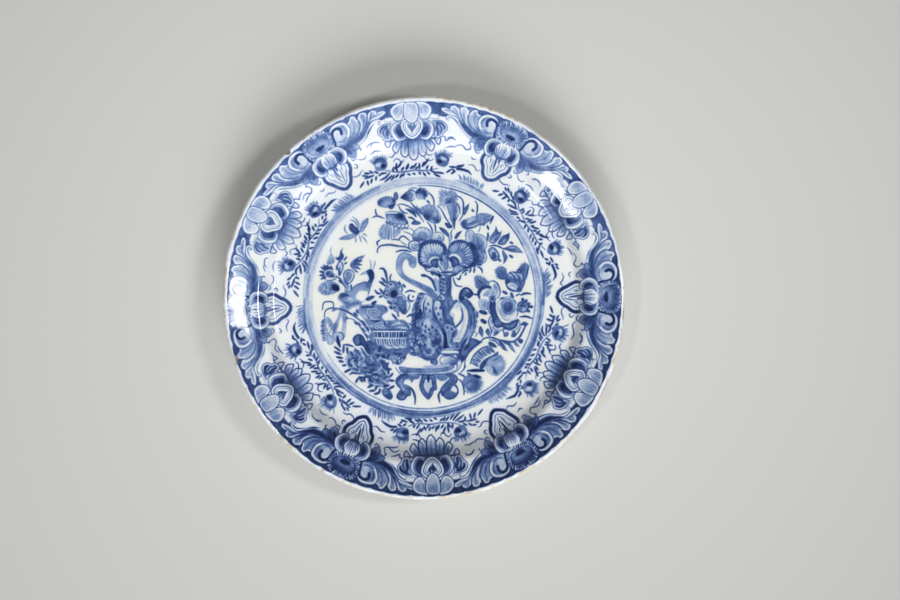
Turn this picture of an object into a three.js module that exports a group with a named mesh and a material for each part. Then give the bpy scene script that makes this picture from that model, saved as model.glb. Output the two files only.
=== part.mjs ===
// A round tin-glazed dish in millimetres, lying on its foot ring with +Z up and its centre over the origin.
import * as THREE from "three";

// Driving dimensions seen from above: the whole dish, then the zones inwards from its lip.
const dishRadius = 175; // to the outermost line of the glazed lip
const lipRadius = 2.5; // roundness of the clay at the lip
const flangeWidth = 24.5; // the flat border
const cavettoWidth = 15.5; // the steep wall between the border and the well

// Driving dimensions upwards from the table.
const footHeight = 7.5;
const floorThickness = 6.5;
const floorRise = 2; // climb of the well's floor from its centre to its edge
const cavettoRise = 15;
const flangeRise = 9;
const flangeStartSlope = 13; // degrees, where the border leaves the wall

// Driving dimensions of the wall, the foot ring and the glaze.
const wallShift = 4; // how far the outer side of the wall stands outside its inner side
const footRadius = 98; // middle of the resting face
const footRestWidth = 6;
const footRootWidth = 12;
const footCoveHeight = 3; // height of the hollow curve that joins the foot to the underside
const bareFootHeight = 1.5; // strip above the resting face that is wiped clean of glaze
const glazeThickness = 0.5;
const bondGap = 0.05; // hairline that keeps the solids of the glaze and the clay apart

// Points along each stretch of the section, and segments round the dish.
const floorSteps = 3;
const cavettoSteps = 6;
const flangeSteps = 3;
const lipSteps = 6;
const coveSteps = 3;
const turns = 64;

// Heights and radii that follow from them.
const underside = footHeight;
const floorHeight = underside + floorThickness;
const halfFlange = flangeWidth / 2;
const flangeStartClimb = halfFlange * Math.tan(THREE.MathUtils.degToRad(flangeStartSlope));
const flangeEndSlope = Math.atan2(flangeRise - flangeStartClimb, halfFlange);
const lipTopRadius = dishRadius - glazeThickness - lipRadius * (1 + Math.sin(flangeEndSlope));
const shoulderRadius = lipTopRadius - flangeWidth;
const wellRadius = shoulderRadius - cavettoWidth;
const wellEdgeHeight = floorHeight + floorRise;
const shoulderHeight = wellEdgeHeight + cavettoRise;
const lipTopHeight = shoulderHeight + flangeRise;

const at = (radius, height) => new THREE.Vector2(radius, height);

// The nearly flat floor of the well, level at the centre.
function floorCurve() {
  return new THREE.QuadraticBezierCurve(
    at(0, floorHeight),
    at(wellRadius / 2, floorHeight),
    at(wellRadius, wellEdgeHeight),
  );
}

// The S-shaped wall between two corners, leaving the first level and meeting the second at the border's slope.
function wallCurve(low, high) {
  const reach = (high.x - low.x) / 2;
  const climb = reach * Math.tan(THREE.MathUtils.degToRad(flangeStartSlope));
  return new THREE.CubicBezierCurve(low, at(low.x + reach, low.y), at(high.x - reach, high.y - climb), high);
}

// The border, which steepens slightly towards the lip.
function flangeCurve() {
  return new THREE.QuadraticBezierCurve(
    at(shoulderRadius, shoulderHeight),
    at(shoulderRadius + halfFlange, shoulderHeight + flangeStartClimb),
    at(lipTopRadius, lipTopHeight),
  );
}

// Half a circle round the lip, from the top of the border to its underside.
function lipPoints() {
  const centre = at(
    lipTopRadius + lipRadius * Math.sin(flangeEndSlope),
    lipTopHeight - lipRadius * Math.cos(flangeEndSlope),
  );
  const points = [];
  for (let step = 1; step <= lipSteps; step++) {
    const turn = Math.PI / 2 + flangeEndSlope - (Math.PI * step) / lipSteps;
    points.push(at(centre.x + lipRadius * Math.cos(turn), centre.y + lipRadius * Math.sin(turn)));
  }
  return points;
}

// The hollow side of the foot from its root to its straight edge; side is 1 outside and -1 inside.
function footCove(side) {
  const root = at(footRadius + (side * footRootWidth) / 2, underside);
  const edge = at(footRadius + (side * footRestWidth) / 2, underside - footCoveHeight);
  return new THREE.QuadraticBezierCurve(root, at(edge.x, root.y), edge).getPoints(coveSteps);
}

// One side of the foot from its root down to where the bare strip starts.
function glazedFootSide(side) {
  const edgeRadius = footRadius + (side * footRestWidth) / 2;
  return [...footCove(side), at(edgeRadius, bareFootHeight)];
}

// The fired clay seen in section: out along the face, round the lip and back to the foot.
const lip = lipPoints();
const face = [
  ...floorCurve().getPoints(floorSteps).slice(0, -1),
  ...wallCurve(at(wellRadius, wellEdgeHeight), at(shoulderRadius, shoulderHeight))
    .getPoints(cavettoSteps)
    .slice(0, -1),
  ...flangeCurve().getPoints(flangeSteps),
];
const outerWall = wallCurve(
  at(wellRadius + wallShift, underside),
  at(shoulderRadius + wallShift, shoulderHeight - 2 * lipRadius),
).getPoints(cavettoSteps);
const back = outerWall.reverse();
const outerFoot = glazedFootSide(1);
const innerFoot = glazedFootSide(-1).reverse();
const underCentre = at(0, underside);

// The section moved outwards from the clay by a distance, mitred where it bends.
function outside(clay, distance) {
  return clay.map((point, index) => {
    if (point.x === 0) return at(0, point.y + (index === 0 ? distance : -distance));
    const before = clay[Math.max(index - 1, 0)];
    const after = clay[Math.min(index + 1, clay.length - 1)];
    const inward = outwardNormal(before === point ? after.clone().sub(point) : point.clone().sub(before));
    const onward = outwardNormal(after === point ? point.clone().sub(before) : after.clone().sub(point));
    const mitre = distance / (1 + inward.dot(onward));
    return point.clone().addScaledVector(inward.add(onward), mitre);
  });
}

// The section is listed clockwise, so the outside lies to the left of each step.
function outwardNormal(step) {
  return at(-step.y, step.x).normalize();
}

// Where the coat of the face ends and the coat of the back begins: halfway round the lip.
const lipMiddle = lipSteps / 2;

const upperSkin = [...face, ...lip, ...back, ...outerFoot];
const faceEnd = face.length + lipMiddle;
const faceStretch = (points) => points.slice(0, faceEnd);
const backStretch = (points) => points.slice(faceEnd - 1);
const footWellStretch = (points) => points;

// A coat over one stretch of a skin, listed from the axis where it reaches the axis.
function coatOutline(skin, stretch) {
  const surface = stretch(outside(skin, glazeThickness));
  const underneath = stretch(outside(skin, bondGap)).reverse();
  if (surface.at(-1).x === 0) return [...underneath, ...surface];
  if (surface[0].x === 0) return [...surface, ...underneath];
  return [...surface, ...underneath, surface[0]];
}

// A closed ring outline turned about Z, listed so that its faces point out.
function turned(name, outline, material) {
  const geometry = new THREE.LatheGeometry(outline.slice().reverse(), turns);
  geometry.rotateX(Math.PI / 2);
  const mesh = new THREE.Mesh(geometry, material);
  mesh.name = name;
  return mesh;
}

const buffClay = new THREE.MeshStandardMaterial({ color: 0xcdb898, roughness: 0.85, metalness: 0 });
const paintedGlaze = new THREE.MeshStandardMaterial({ color: 0x9fb0cc, roughness: 0.2, metalness: 0 });
const whiteGlaze = new THREE.MeshStandardMaterial({ color: 0xdcdedb, roughness: 0.25, metalness: 0 });

function makeBody() {
  const section = [...face, ...lip, ...back, outerFoot[0], innerFoot.at(-1), underCentre];
  return turned("earthenware_body", section, buffClay);
}

function makeFootRing() {
  const outerEdge = at(footRadius + footRestWidth / 2, 0);
  const innerEdge = at(footRadius - footRestWidth / 2, 0);
  return turned("foot_ring", [...outerFoot, outerEdge, innerEdge, ...innerFoot, outerFoot[0]], buffClay);
}

function makeFaceGlaze() {
  return turned("face_glaze", coatOutline(upperSkin, faceStretch), paintedGlaze);
}

function makeBackGlaze() {
  return turned("back_glaze", coatOutline(upperSkin, backStretch), whiteGlaze);
}

function makeFootWellGlaze() {
  return turned("foot_well_glaze", coatOutline([...innerFoot, underCentre], footWellStretch), whiteGlaze);
}

const dish = new THREE.Group();
dish.add(makeBody(), makeFootRing(), makeFaceGlaze(), makeBackGlaze(), makeFootWellGlaze());
export default dish;
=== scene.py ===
"""A round tin-glazed dish painted in cobalt blue, lying face up on its foot ring and seen from above.

The painting is drawn here stroke by stroke on a sheet of cobalt strengths, in millimetres, with +X to the
right and +Y to the top of the painted scene. The fine mesh of the face then carries it as an attribute.
"""

import math

import numpy as np

import bpy
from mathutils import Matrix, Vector

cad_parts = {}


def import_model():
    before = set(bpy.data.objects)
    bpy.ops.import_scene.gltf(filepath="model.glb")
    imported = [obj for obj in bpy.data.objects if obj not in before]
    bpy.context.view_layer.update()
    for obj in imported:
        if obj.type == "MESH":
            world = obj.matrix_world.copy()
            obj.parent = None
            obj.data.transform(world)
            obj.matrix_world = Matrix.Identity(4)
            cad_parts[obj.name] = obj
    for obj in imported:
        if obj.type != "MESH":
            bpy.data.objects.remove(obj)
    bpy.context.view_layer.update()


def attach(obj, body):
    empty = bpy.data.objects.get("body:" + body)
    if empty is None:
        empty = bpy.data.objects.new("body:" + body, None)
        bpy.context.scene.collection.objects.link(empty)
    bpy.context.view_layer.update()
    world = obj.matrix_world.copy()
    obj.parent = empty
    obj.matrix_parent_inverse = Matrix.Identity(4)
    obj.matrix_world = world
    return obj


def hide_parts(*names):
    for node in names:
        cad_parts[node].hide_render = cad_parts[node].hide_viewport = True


# Painting

DISH_RADIUS = 175.0
SHEET_REACH = 178.0
SHEET_PITCH = 0.2
EDGE_SOFTNESS = 0.45
CURVE_STEP = 0.8

# Strengths of cobalt, from bare glaze to the darkest blue.
WHITE, FAINT, PALE, MID, BLUE, DARK, NAVY = 0.0, 0.12, 0.25, 0.4, 0.58, 0.78, 1.0
LEAF = 0.86
SHIELD = 0.84


def points_in(route):
    """The points of a route written as 'x,y x,y'. A point with a star is a sharp corner."""
    found = []
    for word in route.split():
        x, y = word.rstrip("*").split(",")
        found += [(float(x), float(y))] * (2 if word.endswith("*") else 1)
    return np.array(found)


def curve_through(points, closed=False):
    """A smooth line through the points."""
    if closed:
        points = np.vstack((points[-1], points, points[:2]))
    else:
        points = np.vstack((2 * points[0] - points[1], points, 2 * points[-1] - points[-2]))
    pieces = []
    for before, start, end, after in zip(points, points[1:], points[2:], points[3:]):
        steps = max(2, math.ceil(math.dist(start, end) / CURVE_STEP))
        t = (np.arange(steps) / steps)[:, None]
        bend = 2 * start + (end - before) * t
        bend += (2 * before - 5 * start + 4 * end - after) * t**2
        bend += (3 * start - 3 * end + after - before) * t**3
        pieces.append(bend / 2)
    if not closed:
        pieces.append(points[-2:-1])
    return np.vstack(pieces)


class Sheet:
    """A square sheet of cobalt strengths, whose rows run up and whose columns run to the right."""

    def __init__(self):
        side = 2 * round(SHEET_REACH / SHEET_PITCH) + 1
        self.cells = (np.arange(side) - side // 2) * SHEET_PITCH
        self.ink = np.zeros((side, side), np.float32)

    def window(self, low, high):
        """The rows and columns between two corners."""
        first_column, last_column = np.searchsorted(self.cells, (low[0], high[0]))
        first_row, last_row = np.searchsorted(self.cells, (low[1], high[1]))
        return slice(first_row, last_row), slice(first_column, last_column)

    def gaps(self, rows, columns, line, half_widths, limit):
        """How far each cell lies from the edge of a line of varying width, up to a limit."""
        xs, ys = self.cells[columns], self.cells[rows]
        gap = np.full((len(ys), len(xs)), limit)
        for start, end, first, last in zip(line, line[1:], half_widths, half_widths[1:]):
            margin = max(first, last) + limit
            low, high = np.minimum(start, end) - margin, np.maximum(start, end) + margin
            across = slice(*np.searchsorted(xs, (low[0], high[0])))
            up = slice(*np.searchsorted(ys, (low[1], high[1])))
            dx, dy = xs[across] - start[0], (ys[up] - start[1])[:, None]
            step = end - start
            share = np.clip((dx * step[0] + dy * step[1]) / (step @ step + 1e-9), 0, 1)
            near = np.hypot(dx - share * step[0], dy - share * step[1]) - first - share * (last - first)
            gap[up, across] = np.minimum(gap[up, across], near)
        return gap

    def inside(self, rows, columns, outline):
        """Which cells a closed outline holds."""
        xs, ys = self.cells[columns], self.cells[rows]
        crossings = np.zeros((len(ys), len(xs) + 1), np.int32)
        for (ax, ay), (bx, by) in zip(outline, np.roll(outline, -1, axis=0)):
            hit = np.arange(*np.searchsorted(ys, sorted((ay, by))))
            if len(hit):
                crossing = ax + (ys[hit] - ay) * (bx - ax) / (by - ay)
                np.add.at(crossings, (hit, np.searchsorted(xs, crossing)), 1)
        return np.cumsum(crossings, axis=1)[:, :-1] % 2 == 1

    def lay(self, rows, columns, cover, ink):
        """Puts an ink over part of the sheet."""
        held = self.ink[rows, columns]
        self.ink[rows, columns] = held + cover * (ink - held)


class Brush:
    """Paints on a sheet through a place, which turns the brush's own coordinates into millimetres."""

    def __init__(self, sheet, place=None, seed=0, wobble=0.0, load_and_shade=1.0):
        self.sheet = sheet
        self.place = place or (lambda points: points)
        self.chance = np.random.default_rng(seed)
        self.wobble = wobble
        self.load_and_shade = load_and_shade

    def loaded_and_shaded(self, ink):
        """The strength of an ink on this brush: its load of colour, with a painted shade on the lower motifs.
        """
        return min(1.0, ink * self.load_and_shade)

    def put(self, route):
        """The points of a route on the sheet, each a little off as a hand puts it."""
        points = self.place(points_in(route) if isinstance(route, str) else route)
        return points + self.chance.normal(0, self.wobble, points.shape)

    def stroke(self, ink, width, points, ends=(0.5, 0.5), soft=EDGE_SOFTNESS):
        """One stroke through points on the sheet, full in its middle and thinner at its ends."""
        line = curve_through(points)
        along = np.linspace(0, 1, len(line))
        swell = np.interp(along, (0, 0.35, 0.65, 1), (ends[0], 1, 1, ends[1]))
        half_widths = width / 2 * swell
        margin = width / 2 + soft
        rows, columns = self.sheet.window(line.min(0) - margin, line.max(0) + margin)
        gap = self.sheet.gaps(rows, columns, line, half_widths, soft)
        self.sheet.lay(rows, columns, np.clip(0.5 - gap / soft, 0, 1), self.loaded_and_shaded(ink))

    def lines(self, ink, width, routes, ends=(0.5, 0.5), soft=EDGE_SOFTNESS):
        """Strokes along routes that are parted by semicolons."""
        for route in routes.split(";"):
            self.stroke(ink, width, self.put(route), ends, soft)

    def dabs(self, ink, width, routes):
        """Drop-shaped touches, thick at the first point and pointed at the last."""
        self.lines(ink, width, routes, ends=(0.9, 0.15))

    def shape(self, ink, route, rims=(), fade=None, soft=EDGE_SOFTNESS):
        """A closed shape with rims of other inks from its edge inwards.

        A fade is a route of two points and the ink at the second of them.
        """
        outline = curve_through(self.put(route), closed=True)
        limit = sum(width for width, _ in rims) + soft
        rows, columns = self.sheet.window(outline.min(0) - soft, outline.max(0) + soft)
        edge = np.vstack((outline, outline[:1]))
        gap = self.sheet.gaps(rows, columns, edge, np.zeros(len(edge)), limit)
        depth = np.where(self.sheet.inside(rows, columns, outline), gap, -gap)
        level = np.full(depth.shape, self.loaded_and_shaded(ink))
        if fade:
            start, end = self.place(points_in(fade[0]))
            dx = self.sheet.cells[columns] - start[0]
            dy = (self.sheet.cells[rows] - start[1])[:, None]
            step = end - start
            share = np.clip((dx * step[0] + dy * step[1]) / (step @ step), 0, 1)
            level += share * (self.loaded_and_shaded(fade[1]) - level)
        for width, rim_ink in reversed(rims):
            limit -= width
            rim_depth = limit - soft + width
            level += np.clip(0.5 + (rim_depth - depth) / soft, 0, 1) * (self.loaded_and_shaded(rim_ink) - level)
        self.sheet.lay(rows, columns, np.clip(0.5 + depth / soft, 0, 1), level)

    def hatch(self, ink, width, first, second, count, ends=(0.8, 0.3)):
        """Strokes that run from points along one route to points along another."""
        tails, tips = curve_through(self.put(first)), curve_through(self.put(second))
        for share in np.linspace(0, 1, count):
            tail = tails[round(share * (len(tails) - 1))]
            tip = tips[round(share * (len(tips) - 1))]
            tip = tip + self.chance.normal(0, 2 * self.wobble, 2)
            self.stroke(ink, width, np.array((tail, tip)), ends)

    def speckle(self, inks, size, route, count):
        """Small touches of the inks in turn, scattered over a closed shape."""
        outline = curve_through(self.put(route), closed=True)
        after = np.roll(outline, -1, axis=0)
        for number in range(count):
            x, y = self.chance.uniform(outline.min(0), outline.max(0))
            spans = (outline[:, 1] > y) != (after[:, 1] > y)
            start, end = outline[spans], after[spans]
            crossings = start[:, 0] + (y - start[:, 1]) * (end - start)[:, 0] / (end - start)[:, 1]
            if np.sum(crossings > x) % 2:
                step = self.chance.normal(0, 0.6 * size, 2)
                self.stroke(inks[number % len(inks)], size, np.array(((x, y), (x, y) + step)), (1, 0.7))


# The middle of the painted scene isn't quite that of the dish, and the border is drawn out of true with it.
# Its points are moved from one share of the dish's radius inwards, fully after a reach and up to a limit.
SCENE_HUB = (-0.2, 0.9)
MOVED_FROM = 0.97
MOVED_REACH = 0.3
MOVED_LIMIT = 1.2

# The border's ground: its strength at equal steps in degrees, anticlockwise from the right.
# The ground is darker towards the bottom and the right: partly heavier cobalt, partly a painted shade.
GROUND_STEP = 30
GROUND_TONES_AND_SHADE = (0.85, 0.68, 0.6, 0.62, 0.6, 0.62, 0.66, 0.78, 0.85, 0.88, 0.9, 0.88)

# The pale ring round the scene: its middle, its two radii and their softness in millimetres, its strength at
# some turns in degrees, and the number and radii of its streaks.
RING_HUB = (-0.2, 0.85)
RING_INNER = 99
RING_OUTER = 105.2
RING_SOFTNESS = 1.4
RING_TURNS = (0, 60, 90, 135, 180, 215, 245, 272, 300, 330, 360)
# The ring is stronger towards the bottom: partly heavier cobalt, partly a painted shade.
RING_TONES_AND_SHADE = (0.35, 0.2, 0.19, 0.16, 0.23, 0.37, 0.46, 0.52, 0.55, 0.5, 0.35)
RING_STREAKS = 150
STREAK_RADII = (98.6, 105.2)


def border_place(centre, side=1):
    """Turns the border's coordinates into millimetres.

    They are degrees from a motif's centre and the share of the dish's radius. A side of -1 mirrors the motif.
    """

    def place(points):
        turn = np.radians(centre + side * points[:, 0])
        radius = points[:, 1] * DISH_RADIUS
        moved = np.clip((MOVED_FROM - points[:, 1]) / MOVED_REACH, 0, MOVED_LIMIT)
        return np.column_stack(
            (SCENE_HUB[0] * moved + radius * np.cos(turn), SCENE_HUB[1] * moved + radius * np.sin(turn))
        )

    return place


def paint_ground(sheet):
    """The dark ground behind the border's forms."""
    for turn in range(0, 360, 4):
        brush = Brush(sheet, border_place(turn), seed=turn, wobble=0.25)
        tone = GROUND_TONES_AND_SHADE[round(turn / GROUND_STEP) % len(GROUND_TONES_AND_SHADE)]
        edge = 0.9755 - 0.003 * math.sin(math.radians(turn))
        brush.shape(tone, f"-2.3,.916 2.3,.916 2.3,{edge} -2.3,{edge}", rims=((0.8, min(1, 1.2 * tone)),))


def arc(start, end, radius):
    """Points along an arc round the scene, between two turns in degrees."""
    turns = np.radians(np.linspace(start, end, max(4, round(abs(end - start) / 5))))
    return np.column_stack((RING_HUB[0] + radius * np.cos(turns), RING_HUB[1] + radius * np.sin(turns)))


def paint_rings(sheet):
    """The pale wash that rings the scene, its streaks, and the thin line inside it."""
    dx, dy = sheet.cells - RING_HUB[0], (sheet.cells - RING_HUB[1])[:, None]
    radius = np.hypot(dx, dy)
    tone = np.interp(np.degrees(np.arctan2(dy, dx)) % 360, RING_TURNS, RING_TONES_AND_SHADE)
    cover = np.clip((radius - RING_INNER) / RING_SOFTNESS, 0, 1)
    cover = cover * np.clip((RING_OUTER - radius) / RING_SOFTNESS, 0, 1)
    sheet.lay(slice(None), slice(None), cover, tone)
    brush = Brush(sheet, seed=31)
    for _ in range(RING_STREAKS):
        start, length = brush.chance.uniform(0, 360), brush.chance.uniform(10, 45)
        streak = arc(start, start + length, brush.chance.uniform(*STREAK_RADII))
        tone = np.interp((start + length / 2) % 360, RING_TURNS, RING_TONES_AND_SHADE)
        strength = tone * brush.chance.choice((0.3, 0.7, 1.0, 1.3, 1.6))
        brush.stroke(strength, brush.chance.uniform(0.5, 1.5), streak, soft=0.9)
    brush.stroke(FAINT, 0.9, arc(0, 360, 97.2), soft=0.8)
    brush.stroke(BLUE, 1.0, arc(-150, 30, 97.0), ends=(0.2, 0.9), soft=0.7)
    brush.stroke(DARK, 1.2, arc(28, 93, 97.3), ends=(0.8, 0.4))
    brush.stroke(MID, 0.9, arc(96, 172, 98.9), ends=(0.4, 0.3), soft=0.8)
    brush.stroke(MID, 0.8, arc(102, 160, 101.2), ends=(0.4, 0.3), soft=0.8)
    brush.stroke(BLUE, 1.6, arc(112, 168, 103.6), ends=(0.3, 0.3), soft=1)


def lotus_side(brush):
    """Half of a lotus, from the back to the front."""
    brush.shape(WHITE, "5.6,.893* 5.6,.916* 8.4,.916 8.6,.893*", ((0.5, MID),))
    brush.shape(
        PALE,
        "1.4,.977 4.2,.977 6.1,.957 6.4,.925 5.3,.893 3.4,.891 2,.93",
        ((0.6, DARK), (1.6, WHITE)),
        ("4,.945 4,.90", FAINT),
    )
    brush.lines(MID, 1.4, "2.6,.95 3,.925; 4.4,.955 4.6,.93", soft=1)
    brush.shape(
        BLUE,
        "6.6,.886* 9.4,.888 11.3,.872 11.8,.845 10.9,.826 10.4,.806 9,.796 7.7,.806 7.6,.85",
        ((0.6, DARK), (1.1, WHITE)),
    )
    brush.shape(DARK, "7.4,.878 9.4,.88 10.7,.865 10.9,.845 9.8,.85 8.8,.872", soft=1.2)
    brush.lines(
        WHITE, 0.8, "8.2,.868 9.2,.845 9.4,.815; 9.4,.866 10.3,.85 10.5,.835; 7.9,.84 8.3,.815", soft=0.7
    )
    brush.lines(DARK, 2, "8.8,.842 8.8,.815; 8.4,.87 8,.83", soft=1.3)
    brush.shape(
        WHITE, "2.4,.80 4.2,.786 6,.79 7.2,.815 7.4,.85 6.2,.88 4,.89 2.8,.86", ((0.6, DARK), (0.5, WHITE))
    )
    brush.shape(
        BLUE,
        "2.5,.812 4.3,.80 5.5,.813 6.1,.845 5.3,.872 4,.882 2.9,.86",
        fade=("5,.885 4.3,.81", NAVY),
        soft=1,
    )
    brush.lines(PALE, 0.9, "4.4,.88 5.2,.872 5.8,.855", soft=0.9)


# The petals under a lotus: turn of the tip, its share of the radius, and half of the petal's width.
FAN_PETALS = ((9.3, 0.764, 1.4), (6.8, 0.727, 1.7), (3.6, 0.7, 1.9), (0, 0.683, 2.1))


def lotus_fan(brush, halves):
    """The petals that spread under a lotus, blue at their roots and white at their tips."""
    for x, tip, half in FAN_PETALS:
        root = 0.6 * x
        outline = (
            (root - 0.8 * half, 0.797),
            (0.9 * x - half, tip + 0.035),
            (x - 0.5 * half, tip + 0.008),
            (x, tip),
            (x + 0.5 * half, tip + 0.008),
            (0.93 * x + half, tip + 0.035),
            (root + 0.8 * half, 0.797),
        )
        for side in halves[: 2 if x else 1]:
            side.shape(BLUE, np.array(outline), ((0.9, DARK),), (f"{0.7 * x},.782 {x},{tip + 0.015}", WHITE))
            side.lines(
                BLUE, 0.9, f"{root},.79 {0.85 * x},{tip + 0.055} {0.97 * x},{tip + 0.022}", (1, 0.2), 0.8
            )
    brush.lines(DARK, 2.4, "-8.2,.797 -3,.788 0,.785 3,.788 8.2,.797", soft=1.6)


def lotus_front(brush):
    """The middle of a lotus: the shield and the upright petal."""
    heart = (
        "0,.787 1.8,.797 3,.819 3.8,.842 4,.868 3.2,.888 1.5,.90 "
        "-1.5,.90 -3.2,.888 -4,.868 -3.8,.842 -3,.819 -1.8,.797"
    )
    brush.shape(WHITE, heart, ((0.7, DARK), (1.8, WHITE), (0.6, DARK), (1.2, WHITE), (0.4, BLUE)))
    brush.lines(DARK, 1.5, "0.2,.872 0.1,.85 0.2,.825; -0.9,.868 -0.4,.842; 0.9,.868 0.6,.842")
    brush.lines(
        DARK,
        0.8,
        "-1.3,.856 -0.1,.83; 1.4,.856 0.3,.83; -1.5,.868 -0.9,.846; 1.5,.87 1.1,.85; -0.7,.876 -0.5,.86",
    )
    brush.shape(
        PALE,
        "0,.869 1.5,.882 2.3,.912 2.3,.95 1.4,.978 -1.4,.978 -2.3,.95 -2.3,.912 -1.5,.882",
        ((0.7, DARK), (1.0, WHITE)),
        ("0,.95 0,.885", FAINT),
    )
    brush.lines(MID, 0.8, "-0.8,.965 -0.9,.93; 0,.97 0,.925; 0.8,.965 0.9,.93", soft=0.8)


# How far a hand strays from the border's motifs and from its loose leaves, in millimetres.
MOTIF_WOBBLE = 0.2
LEAF_WOBBLE = 0.4


def half_brushes(sheet, centre, seed, load_and_shade):
    """Two brushes for the halves of a motif, the second one for the mirrored half."""
    return [
        Brush(sheet, border_place(centre, side), seed + side, wobble=MOTIF_WOBBLE, load_and_shade=load_and_shade)
        for side in (1, -1)
    ]


def paint_lotus(sheet, motif, seed):
    """A lotus with its fan of petals and curls, the leaves under it and a small aster on either side."""
    centre, load_and_shade, heads = motif
    brush = Brush(sheet, border_place(centre), seed, wobble=MOTIF_WOBBLE, load_and_shade=load_and_shade)
    halves = half_brushes(sheet, centre, seed, load_and_shade)
    lotus_fan(brush, halves)
    for half in halves:
        lotus_side(half)
    lotus_front(brush)
    curls = (
        "8.6,.69 7.6,.702 6.5,.698 5.6,.682 4.6,.682 4.2,.695; -4,.70 -5,.683 -6.8,.682 -7.8,.69;"
        "-4,.725 -5.4,.712 -6.6,.708 -7.4,.714; 10,.72 8.8,.714 7.8,.724 7,.735;"
        "15.5,.795 14.5,.81 12.8,.81 12,.80; 16.5,.757 14.5,.767 12.5,.76;"
        "-10.3,.806 -11.3,.806 -11.8,.79 -13,.80 -14.5,.805; -12.5,.753 -14,.762 -16,.765"
    )
    brush.lines(DARK, 0.9, curls)
    brush = Brush(sheet, border_place(centre), seed, wobble=LEAF_WOBBLE)
    brush.lines(BLUE, 1.4, "13,.66 11,.645 8,.634 4,.627 0,.63 -4,.627 -7,.632 -10,.648")
    leaves = (
        "11.5,.636 14,.626 16,.62; 10.5,.628 12.5,.611 14.5,.604; 9.5,.622 10.5,.61 11.8,.602; 7.6,.62 "
        "9.2,.609;6.2,.622 7.4,.607; 4.8,.62 6,.61; 3.4,.616 2.4,.605; 1,.62 0,.608; -1.5,.618 -2.8,.606; "
        "-3.6,.62 -5,.607;-5.4,.622 -7,.61; -7.5,.63 -9.5,.618; -8.5,.612 -11.5,.606; -10,.627 -13,.622; "
        "12.5,.643 14.5,.65 16.5,.644;9.9,.645 9.5,.666; 8.2,.645 8.6,.662; 7.4,.652 7.8,.68; 6.8,.655 "
        "5.2,.685; 5.8,.64 4.6,.655; 4,.64 3.4,.66;3,.645 2.4,.672; 2,.64 1.2,.655; 0.6,.645 -0.6,.668; "
        "-0.6,.635 -1.6,.65; -2.4,.64 -2,.668; -3.2,.65 -4,.67;-4.2,.655 -6.2,.69; -5,.64 -6,.655; "
        "-6.8,.635 -7.6,.652"
    )
    brush.lines(LEAF, 1.8, leaves, ends=(0.6, 0.5))
    aster_head(brush, heads[0], 0.694, -1)
    aster_head(brush, heads[1], 0.69, 1)


def aster_head(brush, x, y, lean):
    """A round fringed flower in side view, leaning to one side: its rays, then its body and dark heart."""

    def near(route):
        moved = points_in(route) * (lean, 1) + (x, y)
        return " ".join(f"{a:.2f},{b:.4f}" for a, b in moved)

    brush.hatch(
        BLUE,
        0.8,
        near("-2.6,.012 -1,.024 1,.022 2.6,.008"),
        near("-4,.033 -1.2,.05 1.6,.048 3.6,.026"),
        15,
    )
    brush.shape(
        BLUE,
        near("-2.7,.002 -1.6,.024 0.4,.03 2.3,.018 2.9,-.006 1.7,-.028 -0.6,-.033 -2.2,-.022"),
        soft=0.7,
    )
    brush.lines(DARK, 2.2, near("-2.4,.006 -1.2,.021 0.6,.024 2.1,.013"), soft=1.4)
    brush.shape(FAINT, near("-1.8,.0 -1.1,.013 0.6,.012 0.5,.003 -0.5,-.007"), soft=1.8)
    brush.shape(NAVY, near("0,-.003 1.3,-.001 2.3,-.01 1.5,-.02 0.1,-.019"), soft=1.1)


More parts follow.
